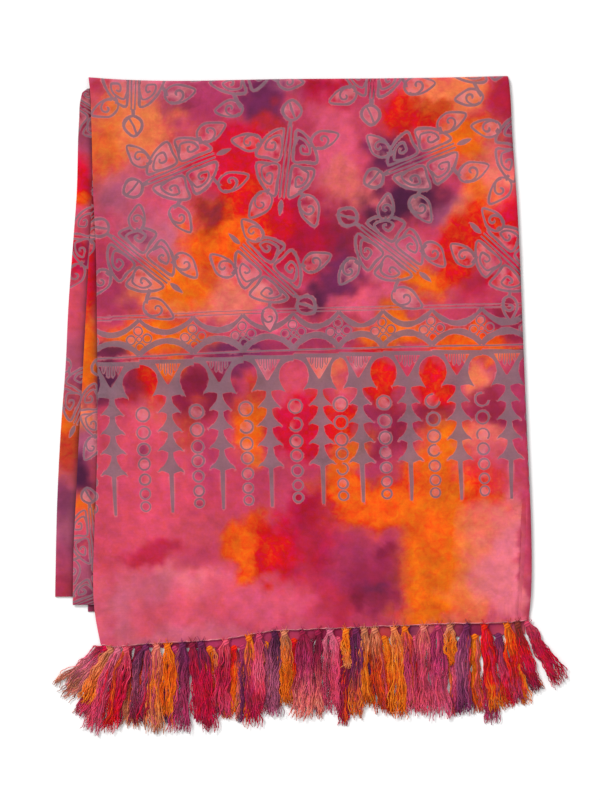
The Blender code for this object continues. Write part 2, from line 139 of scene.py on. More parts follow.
class Dye(Enum):
    """The colours that the cloth and the yarn were dipped in, as hexadecimal sRGB."""

    ROSE = "C2485C"
    PINK = "E26276"
    CORAL = "D95766"
    SALMON = "F08070"
    PEACH = "EE8458"
    ORANGE = "F07836"
    BRIGHT_ORANGE = "F46822"
    RUST = "C04E2E"
    BROWN = "7C382C"
    SCARLET = "E03A22"
    RED = "D8242C"
    CRIMSON = "B42A3C"
    MAGENTA = "AA3C5C"
    MAROON = "86243A"
    PLUM = "6E284E"
    DARK_PLUM = "4C1A3A"
    MAUVE = "A4546E"
    DUSTY_PINK = "CC6A7C"
    TAN = "C87E5E"
    WAX_GREY = "8A6A74"
    PALE_ROSE = "F0808A"
    HALO = "E68E94"

    @property
    def soft(self) -> np.ndarray:
        """The colour as three sRGB numbers, in which dyes are blended."""
        return np.array([int(self.value[i : i + 2], 16) / 255.0 for i in (0, 2, 4)])


def to_linear(soft: np.ndarray) -> np.ndarray:
    """Turns sRGB numbers into the linear ones that shaders use."""
    return np.where(soft <= 0.04045, soft / 12.92, ((soft + 0.055) / 1.055) ** 2.4)


def paint(mesh: bpy.types.Mesh, domain: str, colours: np.ndarray) -> None:
    """Writes the layer that the materials read.

    Args:
        mesh: The mesh.
        domain: POINT or CORNER.
        colours: One linear colour for each point or corner.
    """
    layer = mesh.color_attributes.new(DYE_LAYER, "FLOAT_COLOR", domain)
    filled = np.ones((len(colours), 4), dtype=np.float32)
    filled[:, :3] = colours
    layer.data.foreach_set("color", filled.ravel())


class Pool(NamedTuple):
    """A pool of dye: its place and reach in the view's spots, its colour and how strongly it took."""

    across: float
    down: float
    reach_across: float
    reach_down: float
    dye: Dye
    strength: float = 1.0


@dataclass(frozen=True)
class DyeBathAndShade:
    """Pools of dye that ran into each other, and painted shade beside the edge of a ply that lies over the
    cloth, if one is given.

    Attributes:
        base: The colour under the pools.
        pools: The pools, from the first that was poured to the last.
        seed: Which pattern of ragged edges.
        wander: How far the edges of the pools wander, in millimetres.
        shade_edge: The edge of the ply that lies over this cloth, beside which shade is painted, if there is
            one.
    """

    base: Dye
    pools: tuple[Pool, ...]
    seed: int
    wander: float = 15.0
    shade_edge: Optional[EdgeCurve] = None

    POOL_EDGE = (-1.50, -0.46)
    SHADE_REACH = 4.5

    def colours(self, x: np.ndarray, y: np.ndarray) -> np.ndarray:
        """The dyed colour at each place, with any painted shade.

        Args:
            x: Places across, in millimetres.
            y: Places along, in millimetres.

        Returns:
            One linear colour for each place.
        """
        warped = []
        for way, place in enumerate((x, y)):
            swirl = cloud(x, y, 46.0, self.seed + way) + 0.38 * cloud(x, y, 15.0, self.seed + 7 + way)
            warped.append(place + self.wander * swirl)
        colour = np.tile(self.base.soft, (len(x), 1))
        for number, pool in enumerate(self.pools):
            centre = spot(pool.across, pool.down)
            aside = (warped[0] - centre.real) / (pool.reach_across * MM_PER_SPOT)
            ahead = (warped[1] - centre.imag) / (pool.reach_down * MM_PER_SPOT)
            distance = np.hypot(aside, ahead) + 0.15 * cloud(x, y, 22.0, self.seed + 11 + number, 4)
            weight = pool.strength * eased(-distance, *self.POOL_EDGE)
            colour += (pool.dye.soft - colour) * weight[:, None]
        drift = 1.0 + 0.055 * cloud(x, y, 34.0, self.seed + 3) + 0.05 * cloud(x, y, 9.0, self.seed + 4, 2)
        # Painted shade: the colour darkens towards the edge of the ply that lies over this cloth, as if in
        # its shadow.
        if self.shade_edge:
            drift *= 1.0 - 0.45 * np.exp(-np.clip(self.shade_edge.at(y) - x, 0.0, None) / self.SHADE_REACH)
        return to_linear(np.clip(colour * drift[:, None], 0.0, 1.0)) * DEPTH_OF_DYE


class Ink(IntEnum):
    """What a drawn shape does to the dyed cloth."""

    BARE = 0
    GREY = 1
    PALE = 2
    DEEP = 3

    @classmethod
    def drawn(cls, chance: float, pale: float, bare: float) -> "Ink":
        """Pale up to one chance, bare up to the next and deep beyond it."""
        return cls.PALE if chance < pale else cls.BARE if chance < bare else cls.DEEP


@dataclass
class WaxPen:
    """Draws the print as flat shapes, which are later cut into the cloth.

    Attributes:
        seed: Which pattern of wobble.
        wobble: How far the hand wavers, in millimetres.
        rim: Width of the pale rim beside the print, in millimetres.
        places: Corners of the shapes drawn so far.
        shapes: For each shape, its corners and its ink.
    """

    seed: int = 3
    wobble: float = 0.5
    rim: float = 1.1
    places: list[complex] = field(default_factory=list)
    shapes: list[tuple[list[int], Ink]] = field(default_factory=list)

    WAVER_LENGTH = 22.0
    SMALLEST_AREA = 0.02
    RING_POINTS = 15

    def _put(self, points: Sequence[complex]) -> list[int]:
        """Adds wavering corners and returns their numbers."""
        line = np.array(points)
        aside, ahead = (
            cloud(line.real, line.imag, self.WAVER_LENGTH, self.seed + way, 2) for way in range(2)
        )
        first = len(self.places)
        self.places.extend(line + self.wobble * (aside + 1j * ahead))
        return list(range(first, first + len(points)))

    def _shape(self, corners: list[int], ink: Ink) -> None:
        """Keeps a shape, turned so that it runs anticlockwise, unless it has no area."""
        ring = np.array([self.places[corner] for corner in corners])
        after = np.roll(ring, -1)
        area = float(np.sum(ring.real * after.imag - after.real * ring.imag)) / 2.0
        if abs(area) > self.SMALLEST_AREA:
            self.shapes.append((corners if area > 0 else corners[::-1], ink))

    def dot(self, points: Sequence[complex]) -> None:
        """Keeps loose points, which give the cloth corners there and print nothing."""
        self.places.extend(points)

    def tint(self, outline: Sequence[complex], ink: Ink) -> None:
        """Changes the cloth inside an outline that a stroke will cover."""
        self._shape(self._put(outline), ink)

    def fill(self, outline: Sequence[complex], ink: Ink = Ink.GREY) -> None:
        """Fills an outline over what was drawn before.

        Args:
            outline: Corners in millimetres.
            ink: What the cloth turns to.
        """
        self.tint(outline, ink)
        ring = np.array(outline)
        ahead = np.roll(ring, -1) - np.roll(ring, 1)
        aside = 1j * ahead / np.maximum(np.abs(ahead), 1e-6) * self.rim
        self._put(ring + aside)
        self._put(ring - aside)

    def stroke(self, path: Sequence[complex], width: float, swell: float = 0.0, closed: bool = False) -> None:
        """Draws a line of even or swelling width.

        Args:
            path: Points in millimetres.
            width: Width at the ends, in millimetres.
            swell: What the width gains at the middle, in millimetres.
            closed: Whether the end joins the start.
        """
        line = np.array(path)
        if closed:
            before, after = np.roll(line, 1), np.roll(line, -1)
        else:
            before = np.concatenate(([2 * line[0] - line[1]], line[:-1]))
            after = np.concatenate((line[1:], [2 * line[-1] - line[-2]]))
        ahead = (after - before) / np.maximum(np.abs(after - before), 1e-6)
        share = np.linspace(0.0, 1.0, len(line))
        uneven = 1.0 + 0.24 * cloud(line.real, line.imag, 9.0, self.seed + 5, 2)
        half = (width + swell * np.sin(math.pi * share)) / 2.0 * uneven
        left = self._put(line + 1j * ahead * half)
        right = self._put(line - 1j * ahead * half)
        self._put(line + 1j * ahead * (half + self.rim))
        self._put(line - 1j * ahead * (half + self.rim))
        last = len(line) if closed else len(line) - 1
        for here in range(last):
            there = (here + 1) % len(line)
            self._shape([left[here], right[here], right[there]], Ink.GREY)
            self._shape([left[here], right[there], left[there]], Ink.GREY)

    def ring(
        self, centre: complex, radius: float, width: float, ink: Ink = Ink.BARE, share: float = 1.0
    ) -> None:
        """Draws a circle and changes the cloth inside it.

        Args:
            centre: Its centre.
            radius: Its radius, in millimetres.
            width: The line's width, in millimetres.
            ink: What the cloth inside turns to.
            share: How much of the circle the wax printed.
        """
        turns = 9.0 * radius + np.arange(self.RING_POINTS) / self.RING_POINTS * 2.0 * math.pi
        line = centre + radius * np.exp(1j * turns)
        if ink is not Ink.BARE:
            self.tint(line, ink)
        if share >= 1.0:
            self.stroke(line, width, closed=True)
        else:
            self.stroke(line[: max(int(self.RING_POINTS * share), 3)], width)


def rounded(corners: Sequence[complex], steps: int) -> np.ndarray:
    """A smooth closed line through corners.

    Args:
        corners: The points that it goes through.
        steps: Points for each stretch.

    Returns:
        The points of the line.
    """
    p1 = np.array(corners)[:, None]
    p0, p2, p3 = (np.roll(p1, way, axis=0) for way in (1, -1, -2))
    t = np.arange(steps) / steps
    line = 2 * p1 + (p2 - p0) * t
    line = line + (2 * p0 - 5 * p1 + 4 * p2 - p3) * t**2
    line = line + (3 * p1 - p0 - 3 * p2 + p3) * t**3
    return (0.5 * line).ravel()


class Flipper(NamedTuple):
    """A flipper: its angle round the shell in degrees, how far away, the way it points and its length."""

    angle: float
    away: float
    pointing: float
    length: float


class Pose(Enum):
    """How a turtle holds its four flippers."""

    CRUISING = (
        Flipper(-38, 1.24, -68, 0.68),
        Flipper(66, 1.38, 100, 0.74),
        Flipper(-150, 1.28, -178, 0.74),
        Flipper(143, 1.44, 176, 0.76),
    )
    STROKING = (
        Flipper(-52, 1.22, -66, 0.68),
        Flipper(68, 1.20, 88, 0.70),
        Flipper(-147, 1.44, -158, 0.78),
        Flipper(155, 1.34, 146, 0.74),
    )
    GLIDING = (
        Flipper(-48, 1.12, -62, 0.64),
        Flipper(66, 1.28, 94, 0.70),
        Flipper(-149, 1.24, -194, 0.72),
        Flipper(146, 1.46, 188, 0.78),
    )
    TURNING = (
        Flipper(52, 1.34, 66, 0.72),
        Flipper(-46, 1.34, -46, 0.58),
        Flipper(154, 1.16, 172, 0.66),
        Flipper(-142, 1.24, -182, 0.72),
    )
    DIVING = (
        Flipper(40, 1.45, 20, 0.62),
        Flipper(-46, 1.34, -46, 0.58),
        Flipper(122, 1.30, 190, 0.66),
        Flipper(-142, 1.24, -182, 0.72),
    )


@dataclass(frozen=True)
class TurtleMotif:
    """A sea turtle in the manner of island carvings, drawn from above.

    Lengths inside it are parts of half the shell's length. Its own axis runs from tail to head.

    Attributes:
        across: Place of the shell's middle in the view.
        down: Place of the shell's middle in the view.
        heading: Degrees anticlockwise from the right to which the head points.
        pose: How it holds its flippers.
        half_shell: Half the shell's length, in millimetres.
        line: Width of the drawn lines, in millimetres.
        flipped: Whether its left and right are exchanged.
    """

    across: float
    down: float
    heading: float
    pose: Pose = Pose.CRUISING
    half_shell: float = 49.0
    line: float = 3.6
    flipped: bool = False

    LEAF = (
        -0.52 - 0.02j, -0.40 + 0.24j, -0.06 + 0.38j, 0.30 + 0.27j,
        0.64 + 0.05j, 0.34 - 0.20j, -0.02 - 0.31j, -0.36 - 0.27j,
    )
    FRONT_CELL = (
        0.07 + 0.19j, 0.62 + 0.17j, 0.93 + 0.20j, 0.80 + 0.48j, 0.45 + 0.75j, 0.10 + 0.84j, 0.07 + 0.52j,
    )
    REAR_CELL = (
        -0.09 + 0.19j, -0.09 + 0.50j, -0.12 + 0.80j, -0.48 + 0.72j,
        -0.80 + 0.47j, -0.95 + 0.20j, -0.60 + 0.17j,
    )
    SPINE = (-0.98 + 0.055j, -0.3 + 0.06j, 0.3 + 0.06j, 1.02 + 0.05j)
    NECK = (1.0 + 0j, 1.12 + 0.01j, 1.26 + 0j)
    HEAD = (1.18 + 0j, 1.32 + 0.23j, 1.54 + 0.24j, 1.74 + 0.03j, 1.54 - 0.23j, 1.32 - 0.22j)
    BROW = (1.26 - 0.10j, 1.46 + 0.02j, 1.66 + 0.10j)
    TAIL = (-1.04 + 0j, -1.22 + 0.075j, -1.48 + 0j, -1.22 - 0.075j)
    FINE = 0.86

    def _laid(self, points: Sequence[complex], mirrored: bool = False) -> np.ndarray:
        """Places points of the motif on the cloth, on the other side of its axis if mirrored."""
        local = np.array(points)
        if mirrored != self.flipped:
            local = np.conj(local)
        turn = np.exp(1j * math.radians(self.heading))
        return spot(self.across, self.down) + local * turn * self.half_shell

    def _ink(self, place: complex, mirrored: bool = False) -> Ink:
        """The tint of a part of the turtle, uneven from one part to the next."""
        mixed = 12.9 * self.across + 7.3 * self.down + 31.0 * abs(place) + 5.0 * mirrored
        return Ink.drawn(math.sin(mixed) * 437.5 % 1.0, 0.55, 0.88)

    def _cell(self, pen: WaxPen, corners: Sequence[complex], mirrored: bool, turns: float) -> None:
        """Draws a cell of the shell, with an angular spiral that winds in along its outline."""
        outline = rounded(corners, 4)
        pen.tint(self._laid(outline, mirrored), self._ink(corners[0], mirrored))
        pen.stroke(self._laid(outline, mirrored), self.line, closed=True)
        middle = outline.mean()
        count = len(outline)
        steps = np.arange(int(count * turns))
        shrink = np.interp(steps, (0, 5, len(steps) - 1), (0.94, 0.60, 0.10))
        inner = outline[(steps + 3) % count] - middle
        even = np.abs(inner).mean() / np.abs(inner)
        spiral = middle + inner * (1.0 + (even - 1.0) * np.linspace(0.1, 0.9, len(steps))) * shrink
        pen.stroke(self._laid(spiral, mirrored), self.line * self.FINE)

    def _flipper(self, pen: WaxPen, flipper: Flipper) -> None:
        """Draws a leaf-shaped flipper with a hook inside it, and the joint that holds it."""
        middle = flipper.away * np.exp(1j * math.radians(flipper.angle))
        lean = np.exp(1j * math.radians(flipper.pointing)) * flipper.length
        outline = self._laid(middle + rounded(self.LEAF, 4) * lean)
        pen.tint(outline, self._ink(middle))
        pen.stroke(outline, self.line * self.FINE, closed=True)
        turns = np.linspace(-2.5, 3.9, 22)
        hook = -0.02 + 0.03j + np.interp(turns, (-2.5, -1.2, 3.9), (0.42, 0.24, 0.03)) * np.exp(1j * turns)
        pen.stroke(self._laid(middle + hook * lean), self.line * self.FINE)
        shell = middle / abs(middle) * 0.86
        root = middle - 0.46 * lean
        pen.stroke(self._laid(np.array([shell, (shell + root) / 2.0 + 0.04j, root])), self.line * 1.35)

    def draw(self, pen: WaxPen) -> None:
        """Draws the turtle.

        Args:
            pen: The pen that keeps the shapes.
        """
        for mirrored in (False, True):
            self._cell(pen, self.FRONT_CELL, mirrored, 1.45)
            self._cell(pen, self.REAR_CELL, mirrored, 1.38)
            pen.stroke(self._laid(self.SPINE, mirrored), self.line * 0.62)
        for flipper in self.pose.value:
            self._flipper(pen, flipper)
        pen.stroke(self._laid(self.NECK), self.line * 1.5)
        head = self._laid(rounded(self.HEAD, 3))
        pen.tint(head, self._ink(self.HEAD[1]))
        pen.stroke(head, self.line * 1.15, closed=True)
        pen.stroke(self._laid(self.BROW), self.line * 0.95)
        pen.fill(self._laid(rounded(self.TAIL, 3)))


class Tier(NamedTuple):
    """A pair of barbs on a tree: the drop to where they start, their tips' drop and their reach."""

    leave: float
    tip: float
    reach: float


@dataclass(frozen=True)
class ShoreBorder:
    """The border: two fine lines, swags over flowers, humps on a band, then arches, trees and rings.

    Drops and reaches are in the view's spots, measured down from the line that they hang from.

    Attributes:
        line: The upper fine line, as its drop at places across.
        trees: Places across of the trees.
        lean: How far a tree leans to the right at its foot.
        band_drop: Drop from the upper line to the band.
        tiers: The barbs of each tree.
        rings: Drops of a column's rings below the band.
    """

    line: EdgeCurve = EdgeCurve(((60, 319.5), (100, 317.5), (290, 309.0), (420, 305.5), (560, 303.0)))
    trees: tuple[float, ...] = (62.0, 111.0, 168.0, 219.0, 267.5, 319.0, 358.5, 407.0, 456.5, 506.5, 556.0)
    lean: float = 5.0
    band_drop: float = 45.5
    tiers: tuple[Tier, ...] = (
        Tier(38.0, 52.0, 11.4), Tier(54.5, 70.5, 12.6), Tier(73.0, 89.5, 12.8), Tier(92.0, 110.0, 13.4),
    )
    rings: tuple[float, ...] = (49.5, 67.6, 84.5, 98.8, 114.2, 128.5, 140.8)

    HEAD_OF_TREE = ((10.6, 22.0), (12.6, 28.6), (16.8, 36.0), (11.4, 34.0), (6.5, 34.4), (2.6, 35.6))
    FOOT_OF_TREE = ((2.2, 113.0), (1.9, 132.0), (1.3, 149.0))
    FAN = ((-13.0, 4.0), (13.0, 4.0), (8.0, 13.0), (1.0, 25.0), (-1.0, 25.0), (-8.0, 13.0))
    RAYS = ((-7.2, 6.0), (-2.4, 10.0), (2.4, 10.0), (7.2, 6.0))
    FINE_LINES = ((0.0, 1.0), (3.2, 1.1))
    BAND_LINES = ((-4.4, 2.0), (1.9, 3.4))
    SWAG_TOP = 4.5
    SWAG_DEPTH = 14.0
    HUMP_FOOT = 5.8
    HUMP_RISE = 13.0
    FLOWER_DROP = 24.0
    PETAL_REACH = 8.2
    PETAL_RADIUS = 4.3
    RING_SIZES = (6.8, 4.7)
    TREE_LENGTH = 150.0
    PALE_FANS = (240.0, 400.0)
    FIRST_AND_LAST_RINGS = (139, 482)

    def _band(self, across: float) -> float:
        """How far down the band is at this place."""
        return self.line.one(across) + self.band_drop

    def _along(self, start: float, end: float, drop: float, step: float = 9.0) -> list[complex]:
        """Points that follow the border's line from one place to another."""
        count = max(int((end - start) / step), 2)
        return [spot(x, self.line.one(x) + drop) for x in np.linspace(start, end, count)]

    def _side(self, gap: float) -> list[tuple[float, float]]:
        """One side of a tree and of the arch beside it, as reaches and drops."""
        crown = gap - 11.0
        arch = [
            (gap - crown * math.sin(a), 5.0 + 14.0 * (1.0 - math.cos(a)))
            for a in np.linspace(0.0, 0.5 * math.pi, 7)
        ]
        side = [(gap, 0.0), *arch, *self.HEAD_OF_TREE]
        for tier in self.tiers:
            drop = tier.tip - tier.leave
            side += [
                (2.4, tier.leave),
                (3.0, tier.leave + 0.22 * drop),
                (5.0, tier.leave + 0.46 * drop),
                (7.4, tier.leave + 0.66 * drop),
                (0.82 * tier.reach, tier.leave + 0.80 * drop),
                (tier.reach, tier.tip),
                (0.70 * tier.reach, tier.tip - 0.08 * drop),
                (0.45 * tier.reach, tier.tip - 0.03 * drop),
                (2.5, tier.tip + 0.06 * drop),
            ]
        return [*side, *self.FOOT_OF_TREE]

    def _tree(self, pen: WaxPen, place: float, left_gap: float, right_gap: float) -> None:
        """Draws the grey between two arches, which runs down into a barbed tree."""
        top = self._band(place)
        stretch = float(np.interp(place, (110, 400), (1.03, 1.0)))
        outline = []
        for way, gap in ((1, right_gap), (-1, left_gap)):
            side = [
                spot(place + self.lean * y / self.TREE_LENGTH + way * x, top + stretch * y)
                for x, y in self._side(gap)
            ]
            outline += side[::way]
        pen.fill(outline)
        pale = self.PALE_FANS[0] < place < self.PALE_FANS[1]
        pen.fill([spot(place + x, top + y) for x, y in self.FAN], Ink.PALE if pale else Ink.BARE)
        for x, length in self.RAYS:
            loop = ((-1.3, 3.0), (-1.1, 3.0 + length), (0.0, 5.0 + length), (1.1, 3.0 + length), (1.3, 3.0))
            pen.stroke([spot(place + (x + a), top + b) for a, b in loop], 1.3)

    def _flower(self, pen: WaxPen, across: float) -> None:
        """Draws a flower of four round petals."""
        centre = spot(across, self.line.one(across) + self.FLOWER_DROP)
        pen.ring(centre, 2.6 * MM_PER_SPOT, 1.6, Ink.PALE)
        for quarter in range(4):
            petal = centre + self.PETAL_REACH * MM_PER_SPOT * np.exp(1j * (math.pi / 2 * quarter + 0.12))
            pen.ring(petal, self.PETAL_RADIUS * MM_PER_SPOT, 1.9, Ink.PALE if quarter % 3 else Ink.BARE)

    def draw(self, pen: WaxPen, start: float, end: float) -> None:
        """Draws the border between two places.

        Args:
            pen: The pen that keeps the shapes.
            start: Where the border starts, across the view.
            end: Where it ends.
        """
        bands = [(self.band_drop + drop, width) for drop, width in self.BAND_LINES]
        for drop, width in (*self.FINE_LINES, *bands):
            pen.stroke(self._along(start, end, drop), width)
        inner = [tree for tree in self.trees if start - 30 < tree < end + 30]
        middles = [(a + b) / 2.0 for a, b in zip(inner, inner[1:])]
        for left, right in zip(middles, middles[1:]):
            t = np.linspace(0.0, 1.0, 13)
            x = left + (right - left) * t
            y = self.line.at(x) + self.SWAG_TOP + self.SWAG_DEPTH * np.sin(math.pi * t) ** 0.85
            pen.stroke([spot(a, b) for a, b in zip(x, y)], 4.4, 3.6)
            foot = self.line.at(x) + self.band_drop - self.HUMP_FOOT
            y = foot - self.HUMP_RISE * np.sin(math.pi * t) ** 0.8
            pen.stroke([spot(a, b) for a, b in zip(x, y)], 7.0, 1.0)
        for left, middle, right in zip(middles, inner[1:], middles[1:]):
            self._tree(pen, middle, middle - left, right - middle)
        for middle in middles:
            self._flower(pen, middle)
            shift = float(np.interp(middle, self.FIRST_AND_LAST_RINGS, (2.0, -1.5)))
            lower = float(np.interp(middle, self.FIRST_AND_LAST_RINGS, (4.2, 0.0)))
            for drop, size in zip(self.rings, np.linspace(*self.RING_SIZES, len(self.rings))):
                across = middle + shift + self.lean * drop / self.TREE_LENGTH
                chance = math.sin(3.1 * middle + 1.7 * drop) * 91.7 % 1.0
                share = 1.0 if chance % 0.1 > 0.012 else 0.8
                centre = spot(across, self._band(middle) + drop + lower)
                pen.ring(centre, size * MM_PER_SPOT, 2.5, Ink.drawn(chance, 0.66, 0.84), share)


class Crease(NamedTuple):
    """A soft ridge, or a trough where the height is below zero, along a straight line in millimetres."""

    x0: float
    y0: float
    x1: float
    y1: float
    half_width: float
    height: float


@dataclass(frozen=True)
class PlyForm:
    """The form of one ply of the folded cloth, in millimetres.

    Attributes:
        left: x of the left edge at places along y.
        right: x of the right edge at places along y.
        top: y of the top edge at places along x.
        hem: y of the lower edge at places along x.
        level: Height of the outer face where the ply lies flat.
        low_level: Height of the outer face at the hem.
        slope_from: y where the face starts to run down to the hem.
        slope_to: y where it has arrived.
        turns: For the top, right and left edge, how far it turns down and over what width.
        creases: Soft ridges and troughs.
        puckers: Small folds that start at the hem.
        ripple: Height of the cloth's small unevenness.
        seed: Which pattern of unevenness.
    """

    left: EdgeCurve
    right: EdgeCurve
    top: EdgeCurve
    hem: EdgeCurve
    level: float
    low_level: float
    slope_from: float = -258.0
    slope_to: float = -316.0
    turns: tuple[tuple[float, float], ...] = ((0.4, 3.0), (0.4, 3.0), (0.4, 3.0))
    creases: tuple[Crease, ...] = ()
    puckers: tuple[Crease, ...] = ()
    ripple: float = 0.12
    seed: int = 20

    def place(self, u: np.ndarray, v: np.ndarray) -> tuple[np.ndarray, np.ndarray]:
        """Places of the ply.

        Args:
            u: Shares of the way from left to right.
            v: Shares of the way from top to hem.

        Returns:
            x and y in millimetres.
        """
        middle = TOP_Y + (HEM_Y - TOP_Y) * v
        rough = self.left.at(middle) * (1.0 - u) + self.right.at(middle) * u
        y = self.top.at(rough) * (1.0 - v) + self.hem.at(rough) * v
        return self.left.at(y) * (1.0 - u) + self.right.at(y) * u, y

    @staticmethod
    def _crease(crease: Crease, x: np.ndarray, y: np.ndarray) -> np.ndarray:
        """The relief that one crease gives at each place."""
        along = complex(crease.x1 - crease.x0, crease.y1 - crease.y0)
        aside = x - crease.x0 + 1j * (y - crease.y0)
        t = np.clip((aside * along.conjugate()).real / abs(along) ** 2, 0.0, 1.0)
        away = np.abs(aside - along * t) / (crease.half_width * (1.0 - 0.35 * t))
        return crease.height * np.exp(-(away**2)) * (1.0 - 0.3 * t)

    def heights(self, x: np.ndarray, y: np.ndarray) -> np.ndarray:
        """The outer face's height.

        Args:
            x: Places across.
            y: Places along.

        Returns:
            Heights in millimetres.
        """
        sides = (self.top.at(x) - y, self.right.at(y) - x, x - self.left.at(y))
        turned = np.zeros_like(x)
        for distance, (depth, run) in zip(sides, self.turns):
            across = 1.0 - np.clip(distance, 0.0, run) / run
            turned += (depth * (1.0 - np.sqrt(np.clip(1.0 - across**2, 0.0, 1.0)))) ** 2
        turned = np.minimum(np.sqrt(turned), max(depth for depth, _ in self.turns))
        uneven = 1.0 + 0.25 * cloud(x, y, 25.0, self.seed + 2, 2)
        relief = self.ripple * cloud(x, y, 62.0, self.seed, 3)
        relief += sum(self._crease(crease, x, y) for crease in self.creases) * uneven
        calm = eased(np.minimum(np.minimum(sides[0], sides[1]), sides[2]), 0.0, 6.5)
        relief += sum(self._crease(pucker, x, y) for pucker in self.puckers)
        fall = (self.level - self.low_level) * eased(-y, -self.slope_from, -self.slope_to)
        return self.level - fall + relief * calm - turned

    def width(self, y: float) -> float:
        """The ply's width at one place along it."""
        return self.right.one(y) - self.left.one(y)

    def length(self, x: float) -> float:
        """The ply's length at one place across it."""
        return self.top.one(x) - self.hem.one(x)


@dataclass
class Ply:
    """One ply of the sarong as a thin closed shell, with its print cut into the mesh.

    Attributes:
        name: The piece's name.
        form: The ply's form.
        dye_and_shade: The dyes of this stretch of cloth, with any painted shade beside an edge over it.
        shown: How much of its width, from the left edge, lies open to view, in millimetres.
        pitch: Distance between points where it shows.
        hidden_pitch: Distance between points elsewhere.
        thickness: Thickness of the cloth.
        pen: The print on it, if it has any that shows.
    """

    name: str
    form: PlyForm
    dye_and_shade: DyeBathAndShade
    shown: float = 600.0
    pitch: float = 4.0
    hidden_pitch: float = 24.0
    thickness: float = 0.6
    pen: Optional[WaxPen] = None

    EDGE_STEPS = (0.35, 0.95, 1.8, 2.9, 4.3, 6.2)
    UNDERSIDE_PITCH = 20.0
    LOWEST = 0.02
    STEEPEST = (-4, 4)

    def _shares(self, length: float, shown: float, pitch: float) -> np.ndarray:
        """Shares of a length with close steps at both ends, and one pitch where it shows."""
        near = np.array(self.EDGE_STEPS)
        split = min(max(shown, near[-1] + pitch), length - near[-1] - pitch)
        open_part = np.linspace(near[-1], split, max(int((split - near[-1]) / pitch), 1) + 1)[1:]
        rest = length - near[-1] - split
        hidden = max(int(rest / (pitch if shown >= length else self.hidden_pitch)), 1)
        closed_part = np.linspace(split, length - near[-1], hidden + 1)[1:]
        return np.concatenate((near, open_part, closed_part, length - near[-2::-1])) / length

    def _outline(self, across: np.ndarray, down: np.ndarray) -> np.ndarray:
        """The ply's edge as a ring of places that runs anticlockwise."""
        a, d = np.concatenate(([0.0], across, [1.0])), np.concatenate(([0.0], down, [1.0]))
        u = np.concatenate((np.zeros(len(d) - 1), a[:-1], np.ones(len(d) - 1), a[:0:-1]))
        v = np.concatenate((d[:-1], np.ones(len(a) - 1), d[:0:-1], np.zeros(len(a) - 1)))
        x, y = self.form.place(u, v)
        return x + 1j * y

    @staticmethod
    def _cut(
        ring: np.ndarray, inner: np.ndarray, pen: Optional[WaxPen]
    ) -> tuple[np.ndarray, np.ndarray, np.ndarray]:
        """Triangulates a flat ply with the print's outlines as edges.

        Args:
            ring: The outline.
            inner: Points inside it.
            pen: The print, if there is any.

        Returns:
            The points, the triangles inside the outline, and the ink of each.
        """
        places = [*ring, *inner]
        faces = [list(range(len(ring)))]
        inks = [Ink.BARE]
        if pen:
            first = len(places)
            places += pen.places
            faces += [[corner + first for corner in corners] for corners, _ in pen.shapes]
            inks += [ink for _, ink in pen.shapes]
        made = delaunay_2d_cdt([Vector((p.real, p.imag)) for p in places], [], faces, 0, 1e-4, True)
        flat = np.array([complex(p.x, p.y) for p in made[0]])
        kept = [(face, inks[max(ids)]) for face, ids in zip(made[2], made[5]) if 0 in ids]
        used, triangles = np.unique(np.array([face for face, _ in kept]), return_inverse=True)
        return flat[used], triangles.reshape(-1, 3), np.array([ink for _, ink in kept])

    @staticmethod
    def _rim(triangles: np.ndarray) -> np.ndarray:
        """The ring of corners round a sheet of triangles, in their own order."""
        pairs = np.concatenate((triangles[:, [0, 1]], triangles[:, [1, 2]], triangles[:, [2, 0]]))
        edges = {(int(a), int(b)) for a, b in pairs}
        after = {a: b for a, b in edges if (b, a) not in edges}
        start = next(iter(after))
        rim = [start]
        while after[rim[-1]] != start and len(rim) <= len(after):
            rim.append(after[rim[-1]])
        return np.array(rim)

    def _inward(self, x: np.ndarray, y: np.ndarray) -> tuple[np.ndarray, np.ndarray, np.ndarray]:
        """Points of the inner face under places of the outer one."""
        step, heights = 0.05, self.form.heights
        slope_x, slope_y = (
            np.clip((heights(x + a, y + b) - heights(x - a, y - b)) / (2 * step), *self.STEEPEST)
            for a, b in ((step, 0.0), (0.0, step))
        )
        length = np.sqrt(slope_x**2 + slope_y**2 + 1.0)
        z = heights(x, y) - self.thickness / length
        return x + slope_x * self.thickness / length, y + slope_y * self.thickness / length, z

    def build(self) -> bpy.types.Object:
        """Makes the ply's mesh, with its colours in the layer that its material reads.

        Returns:
            The ply's object.
        """
        form = self.form
        width, length = form.width(60.0), form.length(0.0)
        across, down = self._shares(width, self.shown, self.pitch), self._shares(length, length, self.pitch)
        u, v = (grid.ravel() for grid in np.meshgrid(across, down))
        x, y = form.place(u, v)
        flat, triangles, inked = self._cut(self._outline(across, down), x + 1j * y, self.pen)
        top = np.stack((flat.real, flat.imag, form.heights(flat.real, flat.imag)), axis=1)
        rim = self._rim(triangles)
        rough = (self._shares(side, 0.0, self.UNDERSIDE_PITCH) for side in (width, length))
        u, v = (grid.ravel() for grid in np.meshgrid(*rough))
        x, y, _ = self._inward(*form.place(u, v))
        under, under_triangles, _ = self._cut(flat[rim], x + 1j * y, None)
        bottom = np.stack((under.real, under.imag, self._inward(under.real, under.imag)[2]), axis=1)
        assert np.allclose(under[: len(rim)], flat[rim], atol=1e-3)
        bottom[: len(rim), 2] = top[rim, 2] - self.thickness
        bottom[:, 2] = np.maximum(bottom[:, 2], self.LOWEST)
        under_rim = np.arange(len(rim)) + len(top)
        after, under_after = np.roll(rim, -1), np.roll(under_rim, -1)
        wall = [np.stack((after, *pair), axis=1) for pair in ((rim, under_rim), (under_rim, under_after))]
        faces = np.concatenate((triangles, under_triangles[:, ::-1] + len(top), *wall))
        places = np.concatenate((top, bottom)) * MM
        piece = mesh_object(self.name, places, faces)
        self._dye(piece.data, places / MM, faces, inked)
        return piece

